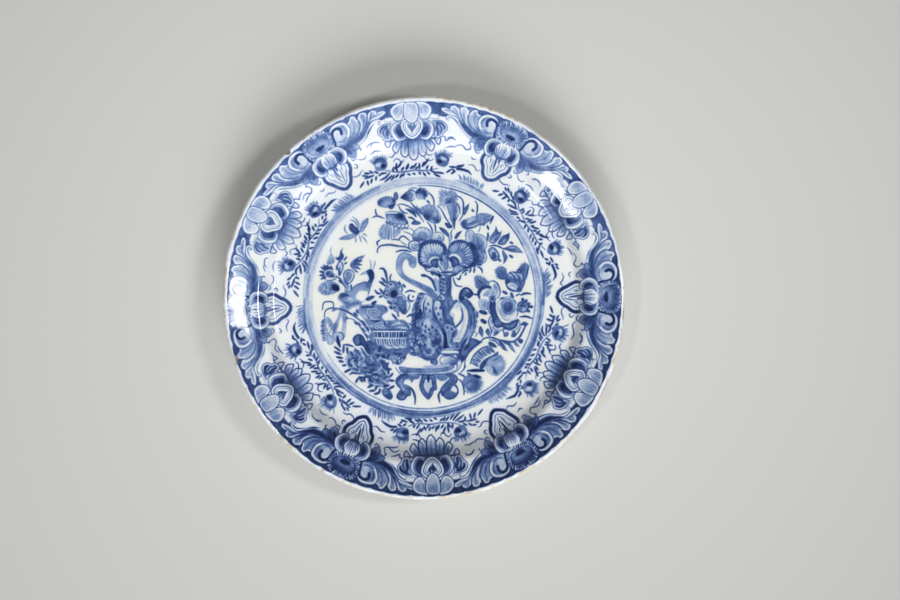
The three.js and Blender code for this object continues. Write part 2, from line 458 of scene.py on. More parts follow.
def acanthus_side(brush):
    """The scrolled leaf on one side of an aster, from its far tip to its root."""
    ribbon = "9.5,.827 12,.831 14.4,.85 16.1,.875 17.3,.896 18.8,.912 20.4,.914 21,.903 20.2,.895"
    brush.lines(DARK, 3.3, ribbon, ends=(0.6, 0.5))
    brush.lines(WHITE, 2.1, ribbon, ends=(0.8, 0.5))
    brush.shape(
        MID,
        "4,.866* 7,.845 11,.84 14,.855 16.3,.885 18.2,.914 20.4,.919 22.5,.932 23.2,.945 22.2,.957 "
        "20.5,.952* 20.2,.966 18.9,.971 17.6,.955* 17.1,.97 15.6,.974 14.3,.95* 13.7,.97 12.4,.974 "
        "11.3,.955 8,.96 4.6,.94",
        ((0.5, DARK), (1.4, WHITE)),
        ("9,.855 17.5,.96", PALE),
    )
    brush.lines(DARK, 4.6, "4.6,.862 8,.85 11.5,.85 14.2,.865 16,.89 17.4,.913", ends=(0.9, 0.15), soft=2.4)
    ribs = (
        "12.5,.96 12.7,.93 12,.90 10.4,.876 8.4,.862; 16,.965 16.1,.935 15,.905 13.2,.882 10.8,.868;"
        "19,.962 18.2,.94 16.8,.915 15,.89; 21.8,.945 19.8,.94 18,.926 16.2,.902"
    )
    brush.lines(BLUE, 1.1, ribs, ends=(0.3, 0.8), soft=0.9)
    brush.lines(
        WHITE,
        1.3,
        "14.9,.957 15.2,.927 14.5,.899 13,.878; 18,.957 17.6,.935 16.5,.91",
        ends=(0.9, 0.1),
        soft=0.8,
    )
    brush.lines(
        DARK,
        0.9,
        "14.3,.955 14.6,.925 13.9,.899 12.5,.878 10.4,.864; 17.5,.957 17.1,.932 16,.908 14.4,.884",
        (0.9, 0.2),
    )
    brush.shape(
        PALE,
        "4.6,.872 4.5,.92 5,.954 6.6,.971 8.8,.971 10.6,.957 11.3,.928 10.9,.898 9.4,.872 7,.862",
        ((0.7, DARK), (2.1, WHITE)),
        ("8,.90 9.6,.93", MID),
    )
    brush.lines(MID, 3, "5,.87 7,.866 9.2,.876", soft=2)
    brush.lines(BLUE, 1.4, "6,.884 7.6,.878 9,.886; 9.4,.94 9.9,.92 9.3,.897", soft=1.4)
    brush.shape(FAINT, "5.8,.892 6,.92 7,.934 7.8,.924 7.9,.905 7.2,.882", soft=1.4)
    brush.lines(WHITE, 1.5, "5.8,.915 6.3,.932 7.1,.937 7.7,.927", soft=0.8)
    brush.lines(
        NAVY, 2.2, "4.4,.867 5,.885 5,.91 5.4,.935 6.4,.948 7.6,.948 8.4,.934 8.2,.914", ends=(0.6, 1.1)
    )


def aster_front(brush):
    """The aster, the bulb under it, the crescents and the shield that hangs from them."""
    brush.shape(
        WHITE,
        "-4.9,.925 -4.2,.962 -2,.978 2,.978 4.2,.962 4.9,.925 4.4,.885 3,.864 0,.858 -3,.864 -4.4,.885",
    )
    fringe_in = "-4,.905 -4.2,.94 -2.5,.958 0,.962 2.5,.958 4.2,.94 4,.905 3,.885 0,.878 -3,.885 -3.8,.9"
    fringe_out = "-5,.905 -5.1,.955 -3,.977 0,.981 3,.977 5.1,.955 5,.905 3.6,.87 0,.864 -3.6,.87 -4.8,.897"
    brush.hatch(DARK, 0.8, fringe_in, fringe_out, 50)
    brush.shape(
        MID,
        "-4,.92 -3.4,.95 0,.962 3.4,.95 4,.92 3,.89 0,.88 -3,.89",
        ((1.6, BLUE),),
        ("0,.90 0,.955", BLUE),
        0.9,
    )
    brush.hatch(
        DARK,
        0.8,
        "-3.4,.918 -2,.935 0,.94 2,.935 3.4,.918",
        "-4,.945 -2.4,.966 0,.97 2.4,.966 4,.945",
        15,
        (0.2, 0.8),
    )
    brush.lines(PALE, 1.3, "-2.2,.915 -0.8,.924 1,.924; -2.6,.9 -1.6,.892; 2.3,.9 1.6,.893", soft=1)
    brush.shape(NAVY, "-1.6,.91 0,.916 1.6,.91 1.2,.897 0,.893 -1.2,.897", soft=0.9)


def shield_side(brush):
    """Half of what hangs under an aster: dark leaves, then the crescent."""
    brush.shape(
        BLUE,
        "5.8,.856 9,.85 11.3,.836 11.8,.818 10.2,.806 8,.812 6.2,.83",
        ((0.6, DARK),),
        ("9,.83 12,.81", PALE),
    )
    brush.shape(
        BLUE, "6,.83 8.6,.824 10,.803 9.4,.781 7.8,.777 6.4,.80", ((0.6, DARK),), ("8,.81 9.6,.776", PALE)
    )
    brush.lines(DARK, 3, "6,.848 8,.842 9.6,.832; 6.4,.826 7.6,.814 8.2,.80", ends=(1, 0.3), soft=1.6)
    brush.lines(DARK, 0.9, "11.4,.812 12,.804 11.6,.796; 9.2,.777 8.6,.768 7.6,.766 7,.776")
    brush.shape(WHITE, "1.4,.868 4.2,.871 6,.855 6.8,.822 6.2,.792 4.6,.775 2.8,.777 2.4,.80", ((0.6, DARK),))
    brush.shape(
        MID,
        "2,.858 3.8,.859 5.1,.844 5.4,.818 4.6,.795 3.3,.789 2.5,.80",
        fade=("4.4,.856 3.6,.80", NAVY),
        soft=1,
    )
    brush.lines(NAVY, 3.2, "4.1,.838 4.3,.82 3.7,.803", soft=1.4)


def hanging_shield(brush):
    """The shield that hangs from an aster."""
    outline = (
        "0,.654* 2.1,.663 3.8,.685 4.7,.711 5.9,.737 6,.77 4,.82 "
        "-4,.82 -6,.77 -5.9,.737 -4.7,.711 -3.8,.685 -2.1,.663"
    )
    brush.shape(WHITE, outline, ((2.9, SHIELD), (2.0, WHITE), (0.7, BLUE), (1.4, WHITE), (0.5, PALE)))
    brush.lines(
        DARK,
        0.8,
        "1.4,.765 1.1,.735 0.4,.70; -1.4,.765 -1.1,.735 -0.5,.70; 2.4,.77 2,.748; -2.4,.77 -2,.748",
    )
    brush.lines(DARK, 1.7, "0.5,.785 0.3,.755 -0.2,.72; -0.5,.785 -0.6,.76", ends=(1, 0.3))


def bulb_and_curls(brush):
    """The bulb between an aster and its shield, and the curls round them."""
    brush.shape(
        WHITE, "0,.868 2,.86 2.9,.832 2.3,.80 0.9,.784 -0.9,.784 -2.3,.80 -2.9,.832 -2,.86", ((0.6, DARK),)
    )
    brush.hatch(BLUE, 0.9, "-1.4,.79 0,.786 1.4,.79", "-2.2,.838 0,.855 2.2,.838", 7, (0.9, 0.3))
    brush.lines(DARK, 2.2, "-1.5,.794 0,.788 1.5,.794", soft=1.4)
    brush.lines(BLUE, 1.4, "-2,.864 -1.4,.868; -0.6,.867 -0.1,.87; 0.8,.867 1.2,.869; 2,.862 2.4,.86")
    curls = (
        "11.6,.805 11.2,.785 11,.775 12.3,.765 13.6,.777 15,.782 16.4,.77; 9.6,.74 8.8,.73 7.6,.735;"
        "9.6,.697 8,.70 6.6,.691 5.6,.683 4.6,.69; -9,.765 -10.5,.752 -12,.755 -12.6,.765;"
        "-13.8,.797 -15,.81 -17,.812; -6.6,.732 -7.3,.727 -7.9,.738 -7,.748;"
        "-4.2,.70 -5.2,.69 -7,.688 -8,.697 -9.4,.7; 17,.80 18.4,.81 20,.803"
    )
    brush.lines(DARK, 0.9, curls)


def paint_aster(sheet, motif, seed):
    """An aster between its scrolled leaves, with the hanging shield behind it and the leaves under it."""
    centre, load_and_shade = motif
    front = Brush(sheet, border_place(centre), seed, wobble=MOTIF_WOBBLE, load_and_shade=load_and_shade)
    halves = half_brushes(sheet, centre, seed, load_and_shade)
    for half in halves:
        acanthus_side(half)
    hanging_shield(front)
    for half in halves:
        shield_side(half)
    bulb_and_curls(front)
    aster_front(front)
    brush = Brush(sheet, border_place(centre), seed, wobble=LEAF_WOBBLE)
    brush.lines(LEAF, 2.2, "7,.652 9,.662 11.5,.664 13.6,.656", ends=(0.3, 1))
    leaves = (
        "13,.682 14.2,.668; 14.6,.665 17,.662; 14,.645 15.8,.652; 17.6,.635 16.4,.646; 15.6,.63 "
        "14.6,.64;11.6,.683 13,.676; -4.6,.63 -7.4,.645; -8,.677 -9.6,.667; -9.4,.684 -11,.672; -11.4,.68 "
        "-12.6,.666;-8.2,.628 -9.2,.648; -10.2,.624 -11,.646; -12.8,.628 -13.3,.646; -13.2,.668 "
        "-14.6,.655; -8.6,.658 -12.8,.652"
    )
    brush.lines(LEAF, 1.8, leaves, ends=(0.6, 0.5))
    brush.shape(BLUE, "13,.604* 9,.612 5,.606 1,.604 -4,.592 -1,.588 5,.592", soft=1.5)
    brush.hatch(BLUE, 0.8, "11,.608 6,.61 0,.605", "12.4,.632 7.2,.642 0.6,.636", 18)


def paint_butterfly(brush):
    """The butterfly at the upper left."""
    brush.lines(
        BLUE,
        1.1,
        "-56.5,60 -56.5,64 -58.5,68 -62,70.5; -57.5,61 -59,65 -61,67 -64,67.8; -66,55.5 -68.3,58 -69,61 "
        "-68,63.5;-56,54.5 -55,51 -54,48.3; -54,54 -51,51 -49.3,47.5; -53,56 -49.5,54.3; -59,52.5 -59,48.5",
    )
    brush.shape(
        PALE,
        "-57,55.3* -61,55.6 -66,54.8 -71,53.2 -73.8,51 -70,50.3 -65,50.6 -60,52.5",
        ((0.8, BLUE),),
        ("-58,54 -70,51.5", BLUE),
    )
    brush.shape(
        FAINT,
        "-55.6,56.8* -55,60.5 -53.5,64 -51,67.5 -48,69.8* -48.3,65.5 -50.5,61.2 -53,57.8",
        ((0.9, BLUE),),
    )
    brush.lines(BLUE, 2.4, "-54,60 -52.5,64 -49.3,68", ends=(0.4, 0.3), soft=1)
    brush.shape(
        DARK, "-64.8,63.5 -62,64.6 -59.8,62 -57.3,60.6 -55.8,58 -56.2,55.8* -59.5,55.4 -62.5,57 -64.6,60"
    )
    brush.lines(BLUE, 2, "-63.5,62.5 -61,60 -59,58.5", soft=1.2)


def paint_left_twigs(brush):
    """The thin twigs left of the large flower."""
    brush.lines(DARK, 1.4, "-44.5,69.8 -42,70.9 -39,70.8 -34.3,69; -39.8,70.8 -41.4,73.5 -42,77")
    brush.lines(
        DARK,
        1.6,
        "-40.3,39.3 -40.1,42 -38,44.8 -34,45.9 -29,46 -22,45 -16,44.3 -11,42; -39.8,45.5 -40.4,48.3 "
        "-37.8,50.3",
    )
    brush.lines(
        DARK,
        1.4,
        "-27.8,50.6 -24,50.9 -21.6,50.4 -20.4,52.6 -18,53.6 -15.5,52.4 -12.5,49.8; -24.2,40 -20,41.2 "
        "-15,41 -10.5,40",
    )
    brush.lines(
        BLUE,
        1,
        "-21,50 -17.5,47.3 -14.5,45.8; -12.5,61 -10,59.4 -8.3,57; -17.8,58.2 -15,57 -11.5,55.4 -9.5,53; "
        "-18.5,60.6 -13,60",
    )


def paint_left_fans(brush):
    """The feathered fan under its dark slab, and the bloom, the bud and the pointed leaf at the top left."""
    brush.shape(
        PALE,
        "-34.5,64 -37,60 -38.4,56.6 -37,52 -33,51 -28,51.6 -22,54 -19.4,58 -20,62.6 -27,65",
        fade=("-35,55 -24,59", FAINT),
        soft=1.4,
    )
    brush.hatch(BLUE, 0.7, "-34,63.6 -36,58 -35,52", "-37,62.4 -39.8,57 -37.8,51.2", 10)
    brush.hatch(MID, 1.2, "-36.6,53 -34,51.2 -31,51", "-32.6,64 -31.4,64 -30,63.6", 3, ends=(0.7, 0.6))
    brush.hatch(
        BLUE,
        0.65,
        "-34,51 -28,51.2 -23,54 -19.4,58.6",
        "-30.6,63.6 -28,62.6 -25,62 -21.6,62",
        10,
        ends=(0.8, 0.5),
    )
    brush.shape(
        WHITE,
        "-33.6,75.4 -25,75.8 -19,74.6 -15.6,71.4 -12.6,66 -14,62.6 -21,62.4 -27,63.4 -32,65",
        soft=0.8,
    )
    brush.lines(BLUE, 0.9, "-33.2,74.6 -28,75 -22,74.6 -18.4,73; -33.2,74.6 -32.8,70 -31.2,65")
    slab = (
        "-32.4,73 -25,73.2 -19,73.4 -16.8,70.6 -14.4,67.6 -13.4,64.4 -17,63.2 -21,63.4 -27,64.2 -30.6,66.4 "
        "-31.6,69.6"
    )
    brush.shape(BLUE, slab, ((0.9, DARK),), ("-20,71 -27,65", MID))
    brush.hatch(PALE, 0.8, "-30.6,66.8 -26,64.4 -21,63.6 -16,63.6", "-30,71 -26,69.4 -21,66.8 -17,66.4", 13)
    brush.shape(NAVY, "-24.4,70.4 -22.6,72.8 -18.6,73 -16.8,70.6 -17.4,68.4 -20.6,69", soft=1)
    brush.lines(DARK, 1.8, "-17.4,69 -15.6,67.2 -14.6,64.8", soft=0.9)
    brush.lines(
        WHITE,
        1.4,
        "-30,64.6 -28,62.4 -25.6,63.6; -25.4,63.4 -23.4,60.6 -21,62.4; -21,62.4 -18.6,60 -16,62.4",
        soft=0.6,
    )
    scallops = (
        "-30,66 -28.8,63.4 -27,64.4; -27,64.6 -25.4,61.6 -23.6,63.4; -23.6,63.4 -22,60.4 -20,62.4;"
        "-20,62.6 -18.4,59.8 -16.4,62.4; -16.4,62.6 -14.8,60.2 -12.8,63.4"
    )
    brush.lines(DARK, 1, scallops)
    brush.lines(DARK, 1.8, "-32.8,66.6 -31.4,64.8 -30.4,65.6", soft=0.8)
    bloom = (
        "-40.4,83.4 -38.6,86 -35,87.4 -32,88.2 -28.6,87.8 -25.6,85.6 -25,82.4 -28,80 -32,78.4 -36,78.8 "
        "-39.4,80.4"
    )
    brush.shape(MID, bloom, ((0.6, BLUE),))
    heart = "-32.6,80 -32.8,80.8 -32.4,81.2 -31.6,81.4 -30.8,81.2 -30,81"
    brush.hatch(
        BLUE, 0.9, "-38.6,80 -40,83 -37.6,86 -33.4,87.8 -28.6,87.6 -25,84.6", heart, 13, ends=(1, 0.2)
    )
    brush.hatch(PALE, 0.8, "-37,79.4 -39.4,82 -38.4,85 -35,87 -31,88 -27,86.6", heart, 9, ends=(0.6, 0.5))
    brush.lines(DARK, 2.2, "-39,81 -38.4,83.6 -36.4,84.8; -27.6,86.4 -25.8,84.8 -25.4,82.6", soft=1.6)
    brush.shape(DARK, "-31,79.8 -29.8,77.6 -27.6,77.2 -25.4,79.6 -24.6,81.8 -28,81.4", soft=0.8)
    brush.shape(
        BLUE,
        "-26.4,88 -25.6,91 -23.8,92.2 -22.2,89.6 -22.4,86.4 -24.2,84.8 -25.8,86",
        ((0.6, DARK),),
        soft=0.8,
    )
    leaf = "-20.4,87.2* -17,90.6 -13.6,93.2 -10,94 -7,92 -6.6,88.4 -8.4,85 -12.4,83.8 -17,85.2"
    brush.shape(BLUE, leaf, ((0.7, DARK),), ("-15,88 -9,89.4", PALE))
    brush.lines(WHITE, 1, "-9.6,92.4 -7.6,90.4 -7.6,87.6 -9.6,85.2")
    brush.lines(BLUE, 1.1, "-15,90 -12,91 -10,90; -15,86.8 -12,86.4 -10,87.6", soft=0.9)
    brush.shape(DARK, "-20,87.2 -17.6,89.6 -15,90.2 -14.6,87.2 -17.4,86", soft=1.4)
    brush.shape(
        BLUE,
        "-7,92 -5,94.4 -1,94.6 2.2,92.4 2.6,89.4 0.6,86.8 -3,85.8 -6.4,87",
        fade=("-2,92 -2,86.4", PALE),
        soft=1.2,
    )
    brush.hatch(
        DARK,
        0.9,
        "-6.8,91.6 -4,95.4 0,95.6 3.6,92 3.4,88.6 0.8,85.4",
        "-5,90.4 -3.4,91.4 -1.6,91 -0.6,90 -0.6,89 -1.4,88",
        14,
    )
    brush.hatch(PALE, 0.8, "-6,87 -3,85.4 0,86", "-5,90 -3,90 -1,89.6", 6)
    brush.lines(BLUE, 0.9, "-13.6,93.8 -10,95.4 -6,95.4", soft=0.6)


def paint_left_cluster(brush):
    """The buds, leaves and blossoms between the butterfly and the left edge of the scene."""
    brush.lines(
        DARK,
        1.5,
        "-77,18.6 -74,17.6 -71.6,15 -70.3,12 -68,9; -73.8,15.5 -71.8,12.8; -63,11.5 -63,7; -75.6,28.2 "
        "-76.2,24",
    )
    brush.shape(
        PALE,
        "-80.3,39* -83,35 -84.6,31 -83,28.6 -80,29.2 -77.4,31 -78,35",
        ((0.9, MID),),
        ("-81,36 -81,29", BLUE),
    )
    brush.lines(MID, 0.9, "-80.4,38 -81,41 -80,44.5; -80.2,36 -81,31")
    brush.shape(
        DARK,
        "-69.8,43.6* -72.4,41 -73,37 -75.2,34.3 -73.8,32 -71.6,32.8 -70,33.6 -69.4,37 -71.2,40",
        soft=0.6,
    )
    brush.lines(DARK, 1.6, "-76.4,35.3 -74.2,33; -66.9,35.6 -69.2,32.3; -66.9,30.8 -68.8,29.4")
    brush.shape(
        PALE,
        "-74,31.5 -71.3,31.5 -69.6,28 -70.2,24 -72.4,20* -75,24 -75.4,28",
        ((1.1, DARK), (0.8, WHITE)),
    )
    brush.lines(DARK, 2.2, "-73,26.5 -73.4,23 -73.2,20.2", ends=(0.4, 1))
    brush.shape(
        MID,
        "-50.8,37.2* -56,35.8 -61,33.2 -63.8,29.8 -63.2,26 -60.2,24.2 -57,26.5 -55.5,31",
        ((0.8, BLUE),),
    )
    brush.hatch(
        DARK, 1.4, "-57.5,32 -58.5,29 -59,26 -60,23.8", "-53.2,31.8 -53.6,28.4 -54.6,25.3 -57,22.2", 4
    )
    brush.lines(DARK, 1.3, "-62.8,28 -60,31 -56.8,35; -61.5,25.5 -59.3,29.5 -57.6,33.5")
    spikes_in = "-84,19 -86,21 -84,23.5 -81.5,24.5 -79.5,24"
    brush.hatch(
        DARK, 2.2, spikes_in, "-89.5,16.3 -90.8,22.4 -88.8,27.6 -85.3,28.6 -81,27.8", 7, ends=(1, 0.3)
    )
    brush.shape(
        BLUE, "-86.4,21 -84.4,24 -80.5,24.4 -77.4,21.5 -77.2,18.5 -80.5,16.8 -84.5,17.6", ((0.8, WHITE),)
    )
    brush.lines(DARK, 2.6, "-80.5,19.5 -78,18.4; -84.5,20.6 -82.5,22.3", soft=1.5)
    brush.lines(BLUE, 1, "-77,21 -75.8,18 -79,15.6 -84,15.2 -87,16.8")
    brush.shape(
        MID,
        "-70.2,20 -68.2,23.8 -64.3,25 -60.6,22.5 -60.2,18.3 -62.6,13.8 -66.8,11.6 -69,15",
        ((0.9, DARK), (1, WHITE)),
    )
    brush.shape(BLUE, "-68,20 -66.5,22.5 -64,22.4 -63.5,19 -65.5,15 -67.8,14.5", soft=2)
    brush.lines(DARK, 2, "-68.6,16 -67.4,12.5 -66.8,9.5 -67.6,6", soft=1)
    brush.shape(
        PALE,
        "-91.6,8.5 -89,12.6 -84,14.4 -78,13.8 -73.8,10.5 -74.2,6.4 -79,3.4 -86,2.6 -90.6,5",
        ((1.2, MID),),
        soft=1.2,
    )
    brush.hatch(MID, 0.8, "-88,8 -86,11 -80,12 -82,5 -86,5", "-91.5,9 -88,13.5 -79,14 -82,2.6 -88,3.2", 22)
    scales = (
        "-90.4,5.6 -89,7.4 -90,9.6; -88.4,3.6 -87.2,5.6 -88.4,7.6; -88.2,8.6 -86.8,10.4 -88,12.4; "
        "-85.8,3 -84.8,4.8 -85.8,6.6; -85.6,7.6 -84.6,9.4 -85.6,11.4; -83,3.4 -81.8,4.6"
    )
    brush.lines(BLUE, 1.1, scales)
    brush.lines(
        BLUE,
        1.4,
        "-83.4,8.6 -78,8.4; -83,10.8 -78,10; -82.4,6.4 -78,7; -81.6,12.4 -77.6,11.2",
        ends=(0.2, 1),
    )
    brush.shape(NAVY, "-79.8,10 -77.5,12 -74.4,10.6 -73,8 -74.5,5.8 -77.6,6.2 -79.5,8", soft=1.2)


def paint_left_bird(brush):
    """The small bird at the left: its body, its neck and head, and its beak."""
    brush.lines(MID, 1.1, "-46.6,25 -46,29 -47,33; -44,25 -42.6,29 -42.4,32")
    brush.shape(
        MID,
        "-50,14 -55,13.2 -60,10.6 -64,6.8 -68,5 -73,3.4 -74.2,-0.5 -70,-4 -62,-7 -56,-5 -50,-2 -47.5,4 "
        "-46.5,9",
        ((0.9, BLUE),),
        ("-57,12 -60,-6", PALE),
    )
    brush.shape(WHITE, "-57,5 -52,6 -48.5,5 -48.6,1 -51,-2.6 -56,-3.6 -59,0", soft=1.5)
    brush.shape(DARK, "-74,1 -71,4 -67,3.6 -65,1 -67,-1.2 -71,-2.6", soft=1.4)
    brush.lines(WHITE, 2, "-69,-0.8 -66,-0.6 -62.5,-2.4", soft=1)
    brush.shape(
        DARK,
        "-48.8,24.2 -46,25.2 -43.9,23.6 -43,19 -44.3,14 -46.4,10.8 -49.4,9.2 -50.2,13 -48,15 -47.6,18 "
        "-49,20.4 -50.4,22.4",
    )
    brush.shape(BLUE, "-50,13 -47,13.5 -45.4,11.5 -46.5,9 -50,8.5", soft=1.5)
    brush.shape(NAVY, "-47.5,22.5 -45.5,23.2 -44.6,20 -45.6,17 -47,18.6", soft=1)
    brush.shape(PALE, "-49.8,22.9 -53,22.2 -55.4,19.6* -52,20.4 -49.4,20.8", ((0.6, MID),))


def paint_small_flower(brush):
    """The flower between the two birds, with its stamens, and the dark bud that hangs under it."""
    stamens = (
        "-37.8,25.4 -35.4,25.4 -33.4,22.6 -32.2,18.6 -31.6,14; -38.4,14 -36,12.6 -33.4,10.4; -36.2,17.4 "
        "-34.4,15.4 -32.6,13;-42.2,6.4 -40.4,4.2 -37.6,3.6; -38,7.8 -36.4,5.6 -34.8,3.4; -38.4,0.6 "
        "-36,1.6; -21.2,14 -20.4,10.8; -18,11.6 -16.2,9.4"
    )
    brush.lines(DARK, 2.1, stamens, ends=(0.6, 0.6))
    brush.lines(DARK, 1.3, "-28.2,20.6 -29.2,17.4 -28.8,14.4")
    brush.lines(
        DARK,
        1.8,
        "-16,4.6 -13,6 -10,6.2 -7.4,5; -12.4,2.8 -13.4,0.4 -12.4,-2 -10.6,-3.2 -8.8,-2; -9.6,1.6 -8.8,0.6",
    )
    brush.shape(
        MID, "-35,4 -33.5,9 -31,14 -26,14.8 -21,12.5 -17.8,9 -18.6,4 -22,0 -28,-3 -33.5,0", ((0.8, BLUE),)
    )
    brush.shape(PALE, "-33.6,-0.4 -31,1 -27,-1 -24,-4 -27,-5.4 -31,-3.6", soft=1.2)
    rings = (
        "-32.6,10.4 -31,13.4 -27.6,14.4 -24.8,12 -25.6,9.4 -29,8.4",
        "-34.8,3 -33,6.4 -30.4,5 -30.4,1 -32.4,-0.6 -34.6,0.6",
        "-24,2 -21,3.4 -17.6,2.8 -15.4,-0.4 -16.6,-4.4 -20,-4.6 -23,-2",
        "-24.4,11.6 -21.4,12 -18.8,9 -19.4,5.6 -22.4,6.4",
    )
    for ring in rings:
        brush.shape(MID, ring, ((0.8, DARK), (0.9, FAINT)))
    brush.lines(
        DARK,
        1.8,
        "-29.4,11.8 -27.4,12; -22.8,-0.2 -20,0.8 -17.6,-0.6; -22.8,9.8 -21,9; -32.8,3.6 -32,1.6",
        soft=0.9,
    )
    brush.shape(BLUE, "-30.4,3 -29.6,7 -26.4,9.4 -22.6,8.6 -21,5.6 -22.4,2.4 -25.6,-0.2 -29,0", soft=2)
    brush.shape(NAVY, "-28.8,3.4 -27.4,6.2 -24.6,6.6 -22.8,4.2 -24,1.2 -27.2,0.6", soft=1.4)
    brush.lines(PALE, 1, "-30.6,8 -28.4,9.4 -26,9.8; -30.8,1 -28.6,-1 -26,-1.4", soft=0.7)
    bud = "-23.4,-1.6 -21,-0.6 -17.6,-1.6 -15.4,-4.4 -14.8,-8 -15,-13 -17,-14.6 -20,-12.6 -22.6,-9 -24,-5"
    brush.shape(BLUE, bud, ((0.7, DARK),), ("-20,-3 -17,-12", DARK), soft=0.8)
    brush.shape(
        PALE,
        "-24,-2.4 -27.4,-2.8 -28.6,-5.6 -27.6,-9 -25,-12 -21.8,-13.4 -21,-9 -22.6,-5",
        ((0.8, BLUE),),
        ("-27,-5 -22,-9", MID),
    )
    brush.shape(
        PALE, "-15.6,-2 -12.6,-3.4 -11.4,-6.4 -12.6,-10 -15,-13.4 -15.4,-8", ((0.9, BLUE), (0.8, WHITE))
    )
    brush.lines(MID, 1.6, "-20.6,-3.6 -19.4,-6.4 -18.4,-8.6", soft=1)
    brush.lines(
        DARK, 1.5, "-26.4,-5 -24.2,-5 -22.4,-6.2; -26,-8.4 -24.2,-8.2; -22.6,-13.4 -21.6,-16.4", soft=0.8
    )
    brush.lines(DARK, 2.3, "-31,-3.4 -29,-4.8; -29.2,-7.8 -28,-9.2", ends=(0.9, 0.9), soft=0.9)
    brush.lines(DARK, 2, "-27.4,-14.2 -25,-16.6 -23.2,-19", ends=(0.6, 0.6))
    brush.dabs(DARK, 2.4, "-49.6,-1.2 -46,0.6 -43,1.6; -1.4,19.6 2.5,19")


def paint_crane(brush):
    """The long neck of the bird that looks round over its back, and the pale leaf by the vase."""
    neck = (
        "-9.2,25.8 -6.6,27.6 -6.4,32 -9,36.4 -13,39 -18,39.6 -22,36.6 -24.1,31 -24,25 -22,20 -18,16 "
        "-12,12.6 -6,9 2,4.6 8,-1 13,-2 12.4,2 7,8.4 0,12 -8,15.6 -14,18.6 -17.4,22 -18.5,27 -17.6,31 "
        "-15.6,33.4 -13.6,32 -12.6,28"
    )
    brush.shape(MID, neck, ((0.7, MID),), ("-16,30 0,8", BLUE))
    brush.lines(PALE, 1.6, "-22,32 -19.5,36.5 -15,37.2; -22.4,24 -21,21; -10.5,29 -9,27.6", soft=1.2)
    brush.lines(BLUE, 1.6, "-10.4,34.6 -8,34 -7.4,31; -12.6,33.4 -10.4,31.4", soft=1)
    brush.shape(PALE, "8.6,16.4 12,16.2 13.8,13 14,7 13,3.4 11.4,4.6 10.4,9", ((0.5, MID),), soft=0.8)


def paint_top_flowers(brush):
    """The stems along the top of the scene and the round ribbed flower between them."""
    stems = (
        "-23,80.6 -20,81.6 -15,80.5 -10,77.5 -6,74 -3,70.5 0,66; -11.6,83.6 -9,80.5 -7,77.5 -5,75;-21.6,80 "
        "-20,76.5 -17,74.2 -14,73.4; 4,91.6 6.8,89.4 8.8,85 9,79; 11.6,80 14.4,77.8 17,74 19,69.6 22,65 "
        "24,62;28,88.6 31,88 33.8,85 34.5,80 34,72 31,67; 3,66 5.4,63 7.2,59.6 8,55.6; 9,65.4 10.2,61.6 "
        "10.4,56.6"
    )
    brush.lines(DARK, 1.3, stems)
    brush.lines(DARK, 2.8, "-15.6,77.4 -12,76 -8.6,73.4 -6.8,71", ends=(0.3, 0.5))
    brush.lines(DARK, 1.7, "-13.6,70 -10.5,69.4 -7.6,67.8")
    brush.shape(DARK, "-10.8,64.2 -8.3,67.6 -5.4,66.8 -2.4,65 -6,63.4")
    flower = (
        "-6.6,79.2 -4,77.6 -0.6,79.6 3.6,81.2 8,80.8 12,77 14.6,72.4 15.2,68.4 13.4,65 9,64.8 5,66.2 "
        "1.4,68.8 -1.6,72.2 -4.6,75.2"
    )
    brush.shape(MID, flower, ((0.7, BLUE),), ("4,80 6,68", BLUE))
    rays = "-0.4,74.4 1.4,75 3.6,74.8 6,73.8 7.8,72", "1,72 3,72.6 5,72 6.4,70.6"
    brush.hatch(PALE, 0.9, "-3.6,77.2 0,79.6 4,80.6 8,80 11.8,76.6", rays[0], 11)
    brush.hatch(BLUE, 0.9, "-5.4,77 -1.8,78.4 2,80.4 6,80.6 10,78.6 13,74", rays[1], 12)
    brush.shape(DARK, "0.4,72.8 2,74 4.4,72.6 6.6,70.4 4.6,68 1.8,69", soft=1)
    brush.shape(NAVY, "1,71.6 2.6,72.4 4.6,70.6 3.8,69 2.2,69.4", soft=1)
    brush.shape(DARK, "6.6,67.6 8.4,70 11.6,69.8 13.2,67 11,65.4", soft=1.4)
    brush.lines(PALE, 0.9, "12.6,74.6 13.8,71 13.6,68; 9.6,72.4 11.4,71.4; 6.4,68 8.6,66.4", soft=0.7)
    brush.lines(BLUE, 1.8, "-6.4,79 -5.4,76.6 -3,74", soft=1)
    brush.dabs(DARK, 1.8, "3.4,84.2 5.2,81.8; 42.4,76.6 43.8,75")


